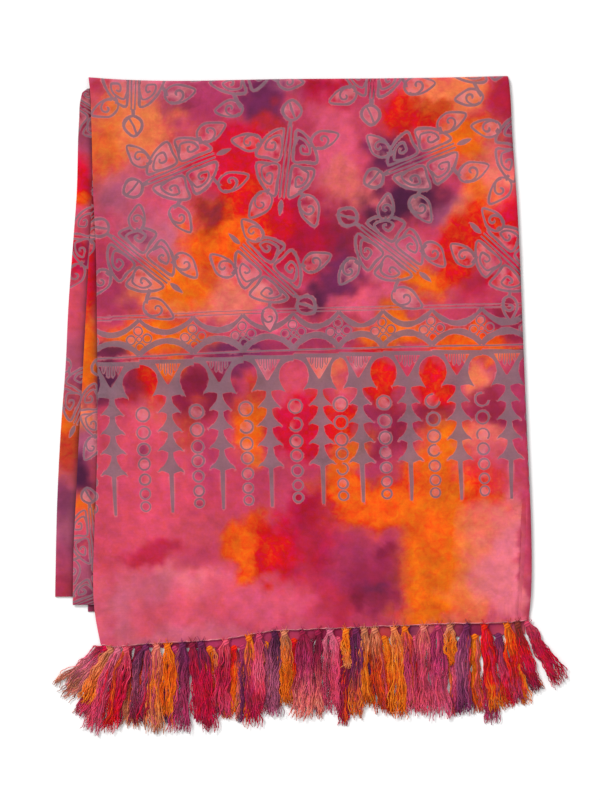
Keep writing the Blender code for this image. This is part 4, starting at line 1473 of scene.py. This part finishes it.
FRONT_POOLS = (
    Pool(150, 88, 70, 22, Dye.DUSTY_PINK),
    Pool(98, 90, 14, 16, Dye.CRIMSON, 0.6),
    Pool(135, 128, 52, 34, Dye.PEACH),
    Pool(105, 150, 20, 40, Dye.ORANGE, 0.55),
    Pool(205, 98, 46, 20, Dye.MAGENTA, 0.9),
    Pool(262, 100, 26, 34, Dye.PLUM),
    Pool(290, 90, 22, 14, Dye.MAUVE, 0.7),
    Pool(330, 88, 26, 16, Dye.CRIMSON),
    Pool(335, 150, 26, 50, Dye.PINK),
    Pool(345, 185, 26, 20, Dye.SALMON, 0.7),
    Pool(128, 192, 30, 26, Dye.DUSTY_PINK, 0.8),
    Pool(118, 198, 18, 14, Dye.MAUVE, 0.6),
    Pool(160, 240, 44, 26, Dye.DUSTY_PINK),
    Pool(235, 158, 42, 22, Dye.RED),
    Pool(262, 130, 16, 14, Dye.SCARLET, 0.5),
    Pool(270, 232, 34, 36, Dye.RED, 0.9),
    Pool(180, 205, 22, 20, Dye.PINK, 0.7),
    Pool(225, 240, 42, 34, Dye.BRIGHT_ORANGE),
    Pool(212, 208, 24, 15, Dye.RUST, 0.8),
    Pool(216, 210, 17, 11, Dye.MAROON, 0.6),
    Pool(245, 190, 20, 14, Dye.SCARLET, 0.8),
    Pool(308, 235, 28, 34, Dye.CRIMSON),
    Pool(290, 160, 22, 26, Dye.CRIMSON, 0.45),
    Pool(112, 285, 28, 30, Dye.MAGENTA, 0.75),
    Pool(178, 288, 46, 24, Dye.ORANGE),
    Pool(150, 300, 34, 12, Dye.PEACH, 0.7),
    Pool(235, 300, 38, 18, Dye.SALMON),
    Pool(316, 292, 17, 20, Dye.DARK_PLUM, 0.9),
    Pool(292, 300, 20, 12, Dye.MAROON, 0.7),
    Pool(392, 150, 24, 22, Dye.PLUM),
    Pool(404, 198, 38, 22, Dye.DARK_PLUM),
    Pool(382, 212, 20, 12, Dye.DARK_PLUM, 0.8),
    Pool(455, 92, 44, 24, Dye.PEACH),
    Pool(415, 118, 34, 20, Dye.SCARLET, 0.85),
    Pool(432, 104, 18, 10, Dye.RUST, 0.8),
    Pool(468, 138, 30, 24, Dye.ORANGE),
    Pool(505, 100, 24, 28, Dye.CRIMSON, 0.85),
    Pool(500, 175, 22, 30, Dye.SALMON),
    Pool(480, 190, 18, 26, Dye.ORANGE, 0.8),
    Pool(448, 206, 24, 14, Dye.MAUVE, 0.7),
    Pool(466, 214, 14, 30, Dye.PEACH, 0.7),
    Pool(515, 235, 18, 40, Dye.RED, 0.9),
    Pool(480, 232, 32, 24, Dye.SCARLET),
    Pool(395, 262, 32, 26, Dye.DUSTY_PINK, 0.9),
    Pool(345, 232, 22, 26, Dye.MAROON, 0.75),
    Pool(340, 272, 18, 26, Dye.PLUM, 0.95),
    Pool(430, 285, 28, 16, Dye.ORANGE),
    Pool(452, 262, 18, 26, Dye.SCARLET),
    Pool(478, 285, 24, 16, Dye.CRIMSON, 0.6),
    Pool(368, 302, 34, 12, Dye.PINK, 0.9),
    Pool(503, 280, 16, 9, Dye.RED),
    Pool(150, 338, 60, 18, Dye.ORANGE),
    Pool(108, 352, 18, 12, Dye.DARK_PLUM, 0.75),
    Pool(238, 348, 36, 14, Dye.PLUM, 0.95),
    Pool(290, 340, 30, 14, Dye.MAGENTA, 0.8),
    Pool(262, 322, 34, 9, Dye.PINK),
    Pool(340, 335, 30, 14, Dye.MAGENTA, 0.6),
    Pool(400, 328, 36, 14, Dye.ORANGE),
    Pool(378, 347, 18, 8, Dye.SCARLET, 0.9),
    Pool(460, 340, 34, 16, Dye.BRIGHT_ORANGE, 0.9),
    Pool(508, 322, 26, 18, Dye.MAROON, 0.8),
    Pool(105, 384, 18, 18, Dye.DARK_PLUM, 0.95),
    Pool(135, 384, 9, 14, Dye.MAROON, 0.8),
    Pool(150, 390, 14, 24, Dye.SCARLET, 0.85),
    Pool(152, 410, 14, 16, Dye.RUST, 0.6),
    Pool(172, 372, 14, 12, Dye.ORANGE),
    Pool(199, 400, 24, 34, Dye.MAROON),
    Pool(222, 368, 14, 12, Dye.PLUM, 0.7),
    Pool(248, 386, 14, 16, Dye.RUST, 0.65),
    Pool(246, 418, 20, 20, Dye.RUST, 0.8),
    Pool(250, 446, 16, 20, Dye.ORANGE, 0.8),
    Pool(272, 366, 18, 12, Dye.MAGENTA, 0.6),
    Pool(298, 386, 24, 24, Dye.CORAL),
    Pool(300, 426, 30, 26, Dye.RED, 0.9),
    Pool(345, 388, 18, 16, Dye.CORAL, 0.8),
    Pool(338, 418, 20, 18, Dye.SCARLET, 0.8),
    Pool(383, 382, 17, 24, Dye.SCARLET),
    Pool(384, 426, 24, 26, Dye.MAROON, 0.85),
    Pool(372, 420, 14, 24, Dye.MAGENTA, 0.6),
    Pool(432, 386, 18, 26, Dye.SCARLET),
    Pool(428, 420, 20, 16, Dye.MAROON, 0.9),
    Pool(438, 428, 10, 9, Dye.DARK_PLUM, 0.6),
    Pool(480, 382, 17, 20, Dye.SALMON),
    Pool(494, 412, 28, 22, Dye.MAROON, 0.7),
    Pool(523, 400, 14, 40, Dye.MAGENTA, 0.7),
    Pool(144, 424, 12, 22, Dye.PEACH, 0.8),
    Pool(246, 436, 17, 32, Dye.ORANGE, 0.75),
    Pool(334, 372, 12, 14, Dye.PEACH, 0.7),
    Pool(500, 353, 20, 8, Dye.ORANGE, 0.8),
    Pool(477, 376, 12, 12, Dye.PEACH, 0.7),
    Pool(448, 462, 34, 40, Dye.ORANGE),
    Pool(482, 440, 20, 18, Dye.SALMON, 0.8),
    Pool(486, 474, 26, 24, Dye.CORAL, 0.9),
    Pool(350, 462, 26, 34, Dye.ORANGE, 0.9),
    Pool(385, 466, 22, 16, Dye.MAGENTA, 0.7),
    Pool(150, 450, 64, 44, Dye.CORAL),
    Pool(178, 420, 16, 20, Dye.RUST, 0.5),
    Pool(204, 462, 14, 24, Dye.MAGENTA, 0.6),
    Pool(384, 500, 76, 28, Dye.BRIGHT_ORANGE),
    Pool(450, 515, 50, 30, Dye.ORANGE),
    Pool(160, 560, 90, 76, Dye.CORAL),
    Pool(150, 606, 80, 44, Dye.PALE_ROSE, 0.5),
    Pool(152, 550, 36, 11, Dye.CRIMSON, 0.7),
    Pool(190, 576, 30, 14, Dye.PALE_ROSE, 0.7),
    Pool(205, 560, 24, 18, Dye.ROSE, 0.8),
    Pool(244, 552, 19, 32, Dye.BRIGHT_ORANGE),
    Pool(278, 558, 22, 32, Dye.RED),
    Pool(276, 562, 16, 24, Dye.SCARLET, 0.9),
    Pool(302, 513, 18, 16, Dye.CRIMSON),
    Pool(318, 540, 28, 28, Dye.CRIMSON, 0.7),
    Pool(275, 600, 60, 20, Dye.PINK, 0.9),
    Pool(330, 585, 36, 34, Dye.CRIMSON, 0.6),
    Pool(370, 572, 38, 40, Dye.MAGENTA, 0.9),
    Pool(378, 584, 28, 26, Dye.MAROON, 0.55),
    Pool(384, 553, 18, 8, Dye.MAROON, 0.8),
    Pool(374, 589, 18, 5, Dye.PLUM, 0.6),
    Pool(354, 601, 11, 12, Dye.MAROON, 0.8),
    Pool(396, 570, 6, 16, Dye.MAROON, 0.6),
    Pool(380, 618, 30, 11, Dye.ROSE, 0.7),
    Pool(452, 560, 46, 48, Dye.ORANGE),
    Pool(436, 606, 32, 22, Dye.ORANGE),
    Pool(440, 532, 26, 20, Dye.BRIGHT_ORANGE, 0.8),
    Pool(470, 590, 22, 34, Dye.PEACH, 0.8),
    Pool(500, 570, 26, 50, Dye.PALE_ROSE, 0.9),
    Pool(476, 530, 20, 22, Dye.PEACH, 0.7),
    Pool(486, 478, 26, 16, Dye.SCARLET, 0.45),
    Pool(490, 504, 20, 12, Dye.SCARLET, 0.5),
    Pool(514, 560, 15, 70, Dye.PALE_ROSE, 0.85),
    Pool(530, 570, 5, 80, Dye.ROSE, 0.6),
    Pool(500, 520, 22, 20, Dye.SALMON, 0.6),
    Pool(440, 630, 60, 8, Dye.SALMON, 0.6),
    Pool(200, 634, 90, 14, Dye.DUSTY_PINK, 0.7),
    Pool(146, 590, 40, 18, Dye.MAUVE, 0.35),
    Pool(184, 616, 60, 14, Dye.CORAL, 0.6),
    Pool(118, 612, 10, 34, Dye.DUSTY_PINK, 0.6),
)

# Pools along the under ply's hem between the knots: partly the hem's own darker dye, partly painted shadow of
# the knots and loops over it.
UNDER_POOLS_AND_KNOT_SHADE = (
    Pool(120, 644, 20, 14, Dye.ROSE),
    Pool(175, 644, 18, 14, Dye.MAROON, 0.8),
    Pool(232, 642, 22, 14, Dye.MAGENTA, 0.9),
    Pool(285, 640, 16, 14, Dye.ROSE, 0.8),
    Pool(330, 638, 20, 14, Dye.MAROON, 0.8),
    Pool(378, 637, 18, 14, Dye.RUST, 0.7),
    Pool(412, 636, 10, 14, Dye.PLUM, 0.8),
    Pool(440, 636, 14, 14, Dye.SALMON, 0.6),
    Pool(464, 636, 12, 14, Dye.PLUM, 0.9),
    Pool(480, 635, 18, 14, Dye.MAROON, 0.8),
    Pool(515, 634, 16, 14, Dye.SALMON, 0.6),
)

BACK_POOLS = (
    Pool(82, 112, 16, 40, Dye.MAROON, 0.7),
    Pool(82, 140, 14, 16, Dye.MAUVE, 0.6),
    Pool(76, 178, 18, 26, Dye.RED),
    Pool(80, 196, 12, 8, Dye.BRIGHT_ORANGE, 0.9),
    Pool(74, 220, 14, 16, Dye.CORAL),
    Pool(74, 256, 16, 20, Dye.RED),
    Pool(70, 305, 18, 34, Dye.CORAL),
    Pool(68, 368, 18, 36, Dye.MAUVE, 0.65),
    Pool(65, 436, 18, 40, Dye.RUST, 0.85),
    Pool(64, 420, 12, 16, Dye.ORANGE, 0.6),
    Pool(62, 520, 20, 44, Dye.MAUVE, 0.9),
    Pool(60, 500, 10, 20, Dye.PLUM, 0.5),
    Pool(60, 556, 20, 20, Dye.MAGENTA, 0.5),
    Pool(62, 588, 22, 14, Dye.MAROON, 0.5),
)

INNER_POOLS = (
    Pool(90, 120, 14, 44, Dye.BROWN, 0.9),
    Pool(89, 220, 12, 40, Dye.CRIMSON),
    Pool(88, 272, 12, 44, Dye.RED),
    Pool(87, 356, 12, 46, Dye.ORANGE),
    Pool(84, 416, 14, 18, Dye.PEACH),
    Pool(84, 444, 14, 16, Dye.MAUVE, 0.9),
    Pool(82, 476, 14, 22, Dye.DARK_PLUM),
    Pool(82, 510, 12, 14, Dye.ORANGE),
    Pool(80, 545, 14, 30, Dye.CORAL),
    Pool(84, 576, 16, 18, Dye.MAUVE, 0.8),
    Pool(86, 602, 18, 14, Dye.PLUM, 0.6),
)

TURTLES = (
    TurtleMotif(182, 169, 202, Pose.CRUISING),
    TurtleMotif(286, 163, 83, Pose.STROKING),
    TurtleMotif(141, 260, 142, Pose.GLIDING),
    TurtleMotif(268, 270, 317, Pose.TURNING),
    TurtleMotif(134, 74, 269, Pose.CRUISING),
    TurtleMotif(240, 64, 20, Pose.DIVING, flipped=True),
    TurtleMotif(422, 159, 202, Pose.CRUISING),
    TurtleMotif(525, 149, 83, Pose.STROKING),
    TurtleMotif(389, 249, 142, Pose.GLIDING),
    TurtleMotif(508, 259, 317, Pose.TURNING),
    TurtleMotif(374, 63, 266, Pose.CRUISING),
    TurtleMotif(480, 53, 20, Pose.DIVING, flipped=True),
)

INNER_TURTLES = (
    TurtleMotif(93, 536, 96, Pose.CRUISING, 38.0, BACK_LINE),
    TurtleMotif(96, 212, 40, Pose.GLIDING, 42.0, BACK_LINE),
    TurtleMotif(98, 598, 20, Pose.STROKING, 36.0, BACK_LINE),
    TurtleMotif(104, 410, 96, Pose.STROKING, 40.0, BACK_LINE),
)

OUTER_TURTLES = (
    TurtleMotif(97, 238, 84, Pose.STROKING, 44.0, BACK_LINE),
    TurtleMotif(92, 112, 150, Pose.GLIDING, 40.0, BACK_LINE),
    TurtleMotif(88, 396, 66, Pose.CRUISING, 42.0, BACK_LINE),
)

YARNS = (
    Yarn("lower", -278, -339, -397, -6, 16, 24, Dye.CRIMSON, Dye.DUSTY_PINK, Dye.TAN),
    Yarn("upper", -271, -306, -412, -5, 15, 17, Dye.TAN, Dye.PEACH, Dye.ORANGE),
    Yarn("lower", -265, -311, -430, -4, 14, 17, Dye.MAROON, Dye.CRIMSON, Dye.ROSE),
    Yarn("upper", -261, -296, -449, -5, 13, 16, Dye.DUSTY_PINK, Dye.ROSE, Dye.ROSE),
    Yarn("upper", -250, -273, -450, -4, 15, 18, Dye.CORAL, Dye.CRIMSON, Dye.RED),
    Yarn("lower", -245, -259, -434, -2, 14, 16, Dye.MAROON, Dye.MAROON, Dye.TAN),
    Yarn("lower", -233, -246, -443, -2, 13, 16, Dye.MAROON, Dye.RUST, Dye.TAN),
    Yarn("upper", -223, -231, -439, -3, 18, 19, Dye.PLUM, Dye.MAUVE, Dye.MAROON),
    Yarn("upper", -208, -212, -450, -3, 15, 18, Dye.SALMON, Dye.ORANGE, Dye.TAN),
    Yarn("upper", -194, -197, -432, 2, 13, 13, Dye.ORANGE, Dye.BRIGHT_ORANGE, Dye.ORANGE),
    Yarn("lower", -184, -192, -438, -1, 14, 16, Dye.MAGENTA, Dye.MAGENTA, Dye.PLUM),
    Yarn("upper", -173, -177, -450, -2, 15, 20, Dye.PLUM, Dye.MAGENTA, Dye.MAGENTA),
    Yarn("upper", -160, -153, -437, 2, 12, 14, Dye.MAROON, Dye.CRIMSON, Dye.CRIMSON),
    Yarn("upper", -148, -137, -449, 3, 13, 17, Dye.PLUM, Dye.CRIMSON, Dye.CRIMSON),
    Yarn("lower", -136, -131, -427, 2, 13, 15, Dye.ORANGE, Dye.RUST, Dye.MAROON),
    Yarn("lower", -123, -119, -428, 2, 12, 14, Dye.MAROON, Dye.ROSE, Dye.ROSE),
    Yarn("upper", -114, -117, -430, -2, 14, 17, Dye.CORAL, Dye.CRIMSON, Dye.ROSE),
    Yarn("lower", -103, -108, -431, 2, 13, 17, Dye.SCARLET, Dye.BRIGHT_ORANGE, Dye.ORANGE),
    Yarn("lower", -91, -94, -435, 1, 11, 12, Dye.MAGENTA, Dye.PLUM, Dye.PLUM),
    Yarn("upper", -83, -82, -442, 1, 13, 15, Dye.ORANGE, Dye.MAGENTA, Dye.CRIMSON),
    Yarn("upper", -69, -68, -424, 2, 13, 14, Dye.ROSE, Dye.PINK, Dye.CRIMSON),
    Yarn("lower", -60, -47, -418, 1, 12, 12, Dye.ORANGE, Dye.PEACH, Dye.ORANGE),
    Yarn("upper", -48, -54, -427, -2, 14, 15, Dye.DARK_PLUM, Dye.MAUVE, Dye.MAUVE),
    Yarn("upper", -35, -33, -415, 1, 14, 13, Dye.TAN, Dye.ORANGE, Dye.ORANGE),
    Yarn("lower", -22, -26, -408, 0, 10, 10, Dye.SCARLET, Dye.SCARLET, Dye.ORANGE),
    Yarn("upper", -10, -15, -432, 1, 19, 20, Dye.MAROON, Dye.MAGENTA, Dye.SALMON),
    Yarn("upper", 11, 10, -430, -2, 15, 18, Dye.MAROON, Dye.MAROON, Dye.SALMON),
    Yarn("upper", 27, 30, -424, 1, 17, 21, Dye.DUSTY_PINK, Dye.ROSE, Dye.ROSE),
    Yarn("lower", 38, 35, -411, 0, 11, 12, Dye.CORAL, Dye.RED, Dye.CORAL),
    Yarn("upper", 49, 50, -364, 0, 6, 4, Dye.ORANGE, Dye.ORANGE, Dye.PEACH),
    Yarn("lower", 51, 45, -439, 1, 14, 15, Dye.DARK_PLUM, Dye.MAROON, Dye.CRIMSON),
    Yarn("upper", 62, 64, -431, 0, 12, 13, Dye.PLUM, Dye.PLUM, Dye.ORANGE),
    Yarn("upper", 74, 73, -415, -1, 9, 10, Dye.TAN, Dye.ORANGE, Dye.ORANGE),
    Yarn("lower", 82, 80, -408, 1, 13, 14, Dye.BROWN, Dye.PLUM, Dye.DARK_PLUM),
    Yarn("upper", 88, 95, -423, 1, 14, 18, Dye.TAN, Dye.RUST, Dye.RUST),
    Yarn("lower", 101, 105, -426, 1, 12, 13, Dye.ORANGE, Dye.ORANGE, Dye.RUST),
    Yarn("upper", 114, 117, -430, 4, 15, 17, Dye.PEACH, Dye.ORANGE, Dye.ORANGE),
    Yarn("upper", 129, 137, -424, 2, 14, 16, Dye.ORANGE, Dye.MAGENTA, Dye.CORAL),
    Yarn("lower", 143, 149, -422, 0, 12, 14, Dye.CORAL, Dye.RED, Dye.CORAL),
    Yarn("upper", 154, 159, -426, -3, 14, 18, Dye.SALMON, Dye.ROSE, Dye.CORAL),
    Yarn("upper", 174, 181, -431, -3, 19, 21, Dye.MAGENTA, Dye.MAGENTA, Dye.PINK),
    Yarn("upper", 190, 195, -359, -1, 11, 4, Dye.TAN, Dye.ORANGE, Dye.ORANGE),
    Yarn("lower", 193, 198, -427, 2, 14, 16, Dye.MAGENTA, Dye.PINK, Dye.MAGENTA),
    Yarn("upper", 213, 212, -426, -4, 17, 21, Dye.PLUM, Dye.MAUVE, Dye.PLUM),
    Yarn("lower", 224, 231, -423, -3, 12, 13, Dye.ORANGE, Dye.ORANGE, Dye.RUST),
    Yarn("upper", 237, 256, -420, 2, 13, 16, Dye.SCARLET, Dye.RED, Dye.ORANGE),
    Yarn("lower", 243, 246, -438, 2, 13, 12, Dye.MAROON, Dye.CRIMSON, Dye.MAGENTA),
    Yarn("lower", 256, 269, -415, 1, 11, 12, Dye.PLUM, Dye.ROSE, Dye.RED),
    Yarn("upper", 268, 282, -409, 1, 12, 13, Dye.ORANGE, Dye.SCARLET, Dye.MAGENTA),
    Yarn("lower", 275, 295, -411, 0, 10, 13, Dye.TAN, Dye.ORANGE, Dye.ORANGE),
    Yarn("upper", 282, 311, -394, 1, 11, 14, Dye.BROWN, Dye.RED, Dye.MAROON),
    Yarn("upper", 295, 338, -386, 3, 15, 24, Dye.ROSE, Dye.CRIMSON, Dye.CRIMSON),
)


def straight(left: float, right: float) -> EdgeCurve:
    """A lower edge from one y at the left to another at the right."""
    return EdgeCurve(((-350.0, left), (0.0, (left + right) / 2.0), (300.0, right)))


@dataclass
class FoldedCloth:
    """All plies of the folded cloth.

    Attributes:
        front_bath: Dyes of the ply that faces up.
        under_dye_and_shade: Dyes of its other half, whose darker hem is partly its own dye and partly painted
            shadow of the knots.
        outer_dye_and_shade: Dyes of the outermost ply behind it, with painted shade beside the inner ply's
            edge.
        inner_dye_and_shade: Dyes of the ply between them, with painted shade beside the front ply's edge.
        turtles: The turtles of the front.
        border: The border above the hem.
    """

    front_bath: DyeBathAndShade
    under_dye_and_shade: DyeBathAndShade
    outer_dye_and_shade: DyeBathAndShade
    inner_dye_and_shade: DyeBathAndShade
    turtles: tuple[TurtleMotif, ...]
    border: ShoreBorder

    BESIDE_CREASE = (-6.0, -4.2, -2.6, -1.2, 0.0, 1.2, 2.6, 4.2, 6.0)
    BESIDE_PUCKER = (-3.4, -2.0, -1.0, 0.0, 1.0, 2.0, 3.4)
    UP_PUCKER = (0.6, 2.2, 4.5, 7.5, 11.0, 15.0)

    @staticmethod
    def _printed(pen: WaxPen, turtles: Sequence[TurtleMotif]) -> WaxPen:
        """Lets a pen draw turtles, and hands it back."""
        for turtle in turtles:
            turtle.draw(pen)
        return pen

    def front(self) -> Ply:
        """The ply that faces up, with the whole print."""
        pen = WaxPen()
        self.border.draw(pen, *BORDER_ENDS)
        self._printed(pen, self.turtles)
        for crease in FRONT_CREASES[:SHARP_CREASES]:
            start, end = complex(crease.x0, crease.y0), complex(crease.x1, crease.y1)
            side = 1j * (end - start) / abs(end - start)
            for share in np.linspace(0.0, 1.0, CREASE_POINTS):
                pen.dot([start + (end - start) * share + side * aside for aside in self.BESIDE_CREASE])
        puckers = tuple(self._pucker(yarn.root_x, pen) for yarn in YARNS if yarn.row == "upper")
        form = PlyForm(
            FRONT_LEFT, FRONT_RIGHT, FRONT_TOP, FRONT_HEM, 7.2, 3.6,
            turns=((6.4, 6.0), (3.6, 4.4), (0.7, 6.0)), creases=FRONT_CREASES, puckers=puckers,
        )
        return Ply("front_cloth", form, self.front_bath, pen=pen)

    def _pucker(self, root: float, pen: WaxPen) -> Crease:
        """A small fold above a knot, with points close enough to carry it."""
        hem = FRONT_HEM.one(root)
        reach = 13.0 + 5.0 * math.sin(root)
        for up in self.UP_PUCKER:
            pen.dot([complex(root + aside, hem + up) for aside in self.BESIDE_PUCKER])
        return Crease(root, hem, root + 3.0 * math.sin(2.0 * root), hem + reach, 1.5, -0.55)

    def under(self) -> Ply:
        """The front ply's other half, whose hem shows between the knots."""
        form = PlyForm(
            FRONT_LEFT.shifted(4.5), FRONT_RIGHT.shifted(-5.2), FRONT_TOP.shifted(-8.0), UNDER_HEM, 5.0, 1.6,
            creases=tuple(crease for crease in FRONT_CREASES if crease.height < 0), ripple=0.05, seed=31,
        )
        return Ply("under_cloth", form, self.under_dye_and_shade, shown=0.0, pitch=9.0)

    def inner(self) -> Ply:
        """The upper of the two plies that step out at the left."""
        pen = self._printed(WaxPen(seed=12), INNER_TURTLES)
        form = PlyForm(
            INNER_LEFT, FRONT_RIGHT.shifted(-4.6), FRONT_TOP.shifted(-15.0), straight(-279.0, -270.0),
            3.8, 3.8, turns=((1.6, 3.0), (1.8, 3.2), (0.8, 4.0)), ripple=0.08, seed=41,
        )
        return Ply("inner_cloth", form, self.inner_dye_and_shade, shown=48.0, pen=pen)

    def tucked(self) -> Ply:
        """The short ply between the layers at the lower left corner."""
        form = PlyForm(
            TUCKED_LEFT, FRONT_RIGHT.shifted(-5.0), FRONT_TOP.shifted(-20.0), straight(-288.0, -284.0),
            1.3, 1.3, ripple=0.03, seed=51,
        )
        return Ply("tucked_cloth", form, self.inner_dye_and_shade, shown=0.0, pitch=12.0, thickness=0.5)

    def outer(self) -> Ply:
        """The ply that rests on the floor and steps out furthest at the left."""
        pen = self._printed(WaxPen(seed=15), OUTER_TURTLES)
        form = PlyForm(
            OUTER_LEFT, FRONT_RIGHT.shifted(-3.2), FRONT_TOP.shifted(-15.5), straight(-267.5, -262.0),
            2.1, 2.1, turns=((1.0, 3.0), (1.4, 3.0), (1.3, 4.5)), ripple=0.06, seed=61,
        )
        return Ply("outer_cloth", form, self.outer_dye_and_shade, shown=62.0, pen=pen, thickness=0.55)

    def build(self, finish: bpy.types.Material, back: bpy.types.Material) -> list[bpy.types.Object]:
        """Makes and dresses all plies.

        Args:
            finish: The material of the face.
            back: The material of the plies behind.

        Returns:
            The plies, the front first.
        """
        pieces = []
        for ply in (self.front(), self.under(), self.inner(), self.tucked(), self.outer()):
            piece = ply.build()
            is_front = ply.name == "front_cloth"
            piece.data.materials.append(finish if is_front else back)
            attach(piece, ROOT)
            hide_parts("front_panel" if is_front else "folded_layers")
            flat = (ply.form.width(0.0) * MM, ply.form.length(0.0) * MM)
            logging.info("%s: %d triangles", piece.name, len(piece.data.polygons))
            pieces.append(piece)
        return pieces


@dataclass
class HemThread:
    """The pale frayed thread along the front's hem.

    Attributes:
        hem: The hem's edge.
        form: The form of the ply that it lies on.
        radius: The thread's radius, in millimetres.
        inset: How far it lies inside the edge.
    """

    hem: EdgeCurve
    form: PlyForm
    radius: float = 0.62
    inset: float = 0.8

    ENDS = (-283.0, 296.0)
    STEPS = 420
    SIDES = 5

    def build(self, finish: bpy.types.Material) -> bpy.types.Object:
        """Makes the thread.

        Args:
            finish: Its material.

        Returns:
            The thread's object.
        """
        x = np.linspace(*self.ENDS, self.STEPS)
        y = self.hem.at(x) + self.inset + 0.7 * cloud(x, 0 * x, 7.0, 71, 3)
        z = self.form.heights(x, y) + 0.15
        ring = np.arange(self.SIDES) / self.SIDES * 2.0 * math.pi
        thick = self.radius * (1.0 + 0.45 * cloud(x, 0 * x + 9.0, 4.0, 72, 3))
        places = np.stack(
            (
                np.repeat(x, self.SIDES),
                np.repeat(y, self.SIDES) + np.outer(thick, np.cos(ring)).ravel(),
                np.repeat(z, self.SIDES) + np.outer(thick, np.sin(ring)).ravel(),
            ),
            axis=1,
        )
        number = np.arange(len(places)).reshape(-1, self.SIDES)
        beside = np.roll(number, -1, axis=1)
        a, b, c, d = number[:-1].ravel(), number[1:].ravel(), beside[:-1].ravel(), beside[1:].ravel()
        tube = np.concatenate((np.stack((a, c, b), axis=1), np.stack((c, d, b), axis=1)))
        first, last = number[0], number[-1]
        caps = [(first[0], first[i + 1], first[i]) for i in range(1, self.SIDES - 1)]
        caps += [(last[0], last[i], last[i + 1]) for i in range(1, self.SIDES - 1)]
        piece = mesh_object("hem_thread", places * MM, np.concatenate((tube, np.array(caps))))
        pale = 0.82 + 0.16 * cloud(places[:, 0], places[:, 1], 8.0, 73)
        paint(piece.data, "POINT", to_linear(np.clip(Dye.HALO.soft[None] * pale[:, None], 0, 1)))
        piece.data.materials.append(finish)
        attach(piece, ROOT)
        return piece


def main() -> None:
    """Builds the studio, the folded cloth and its fringe, and reports each piece."""
    logging.basicConfig(level=logging.INFO, format="%(message)s")
    Studio().build()
    cloth_finish = DyedFinish("dyed rayon face", 0.0006, 0.35, 0.075, 0.78, 0.05).make()
    back_finish = DyedFinish("dyed rayon back", 0.0006, 0.35, 0.075, 0.80, 0.05).make()
    yarn_finish = DyedFinish("dyed yarn", 0.0004, 0.5, 0.10, 0.86, 0.06).make()
    cloth = FoldedCloth(
        DyeBathAndShade(Dye.ROSE, FRONT_POOLS, 101),
        # The under ply's darker base and pools: partly its own dye, partly painted shadow of the knots.
        DyeBathAndShade(Dye.MAGENTA, UNDER_POOLS_AND_KNOT_SHADE, 151, 8.0),
        # The last argument of the next two baths is the ply edge beside which shade is painted.
        DyeBathAndShade(Dye.CORAL, BACK_POOLS, 201, 6.0, INNER_LEFT),
        DyeBathAndShade(Dye.CORAL, INNER_POOLS, 301, 6.0, FRONT_LEFT),
        TURTLES,
        ShoreBorder(),
    )
    plies = cloth.build(cloth_finish, back_finish)
    thread = HemThread(FRONT_HEM, cloth.front().form).build(cloth_finish)
    logging.info("%s: %d triangles", thread.name, len(thread.data.polygons))
    rows = {
        "upper": FringeRow(FRONT_HEM, 4.2, 2.3, 4.4, 2.1, 0.4),
        "lower": FringeRow(UNDER_HEM, 2.3, 1.5, 2.1, 1.3, -3.2),
    }
    fringe = Fringe(rows, YARNS)
    for number, yarn in enumerate(YARNS, start=1):
        piece = fringe.build(number, yarn)
        node = f"tassel_{number:02d}"
        piece.data.materials.append(yarn_finish)
        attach(piece, ROOT)
        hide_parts(node)
        logging.info("%s: %d triangles", piece.name, len(piece.data.polygons))
    logging.info("%d plies", len(plies))


if __name__ == "__main__":
    main()
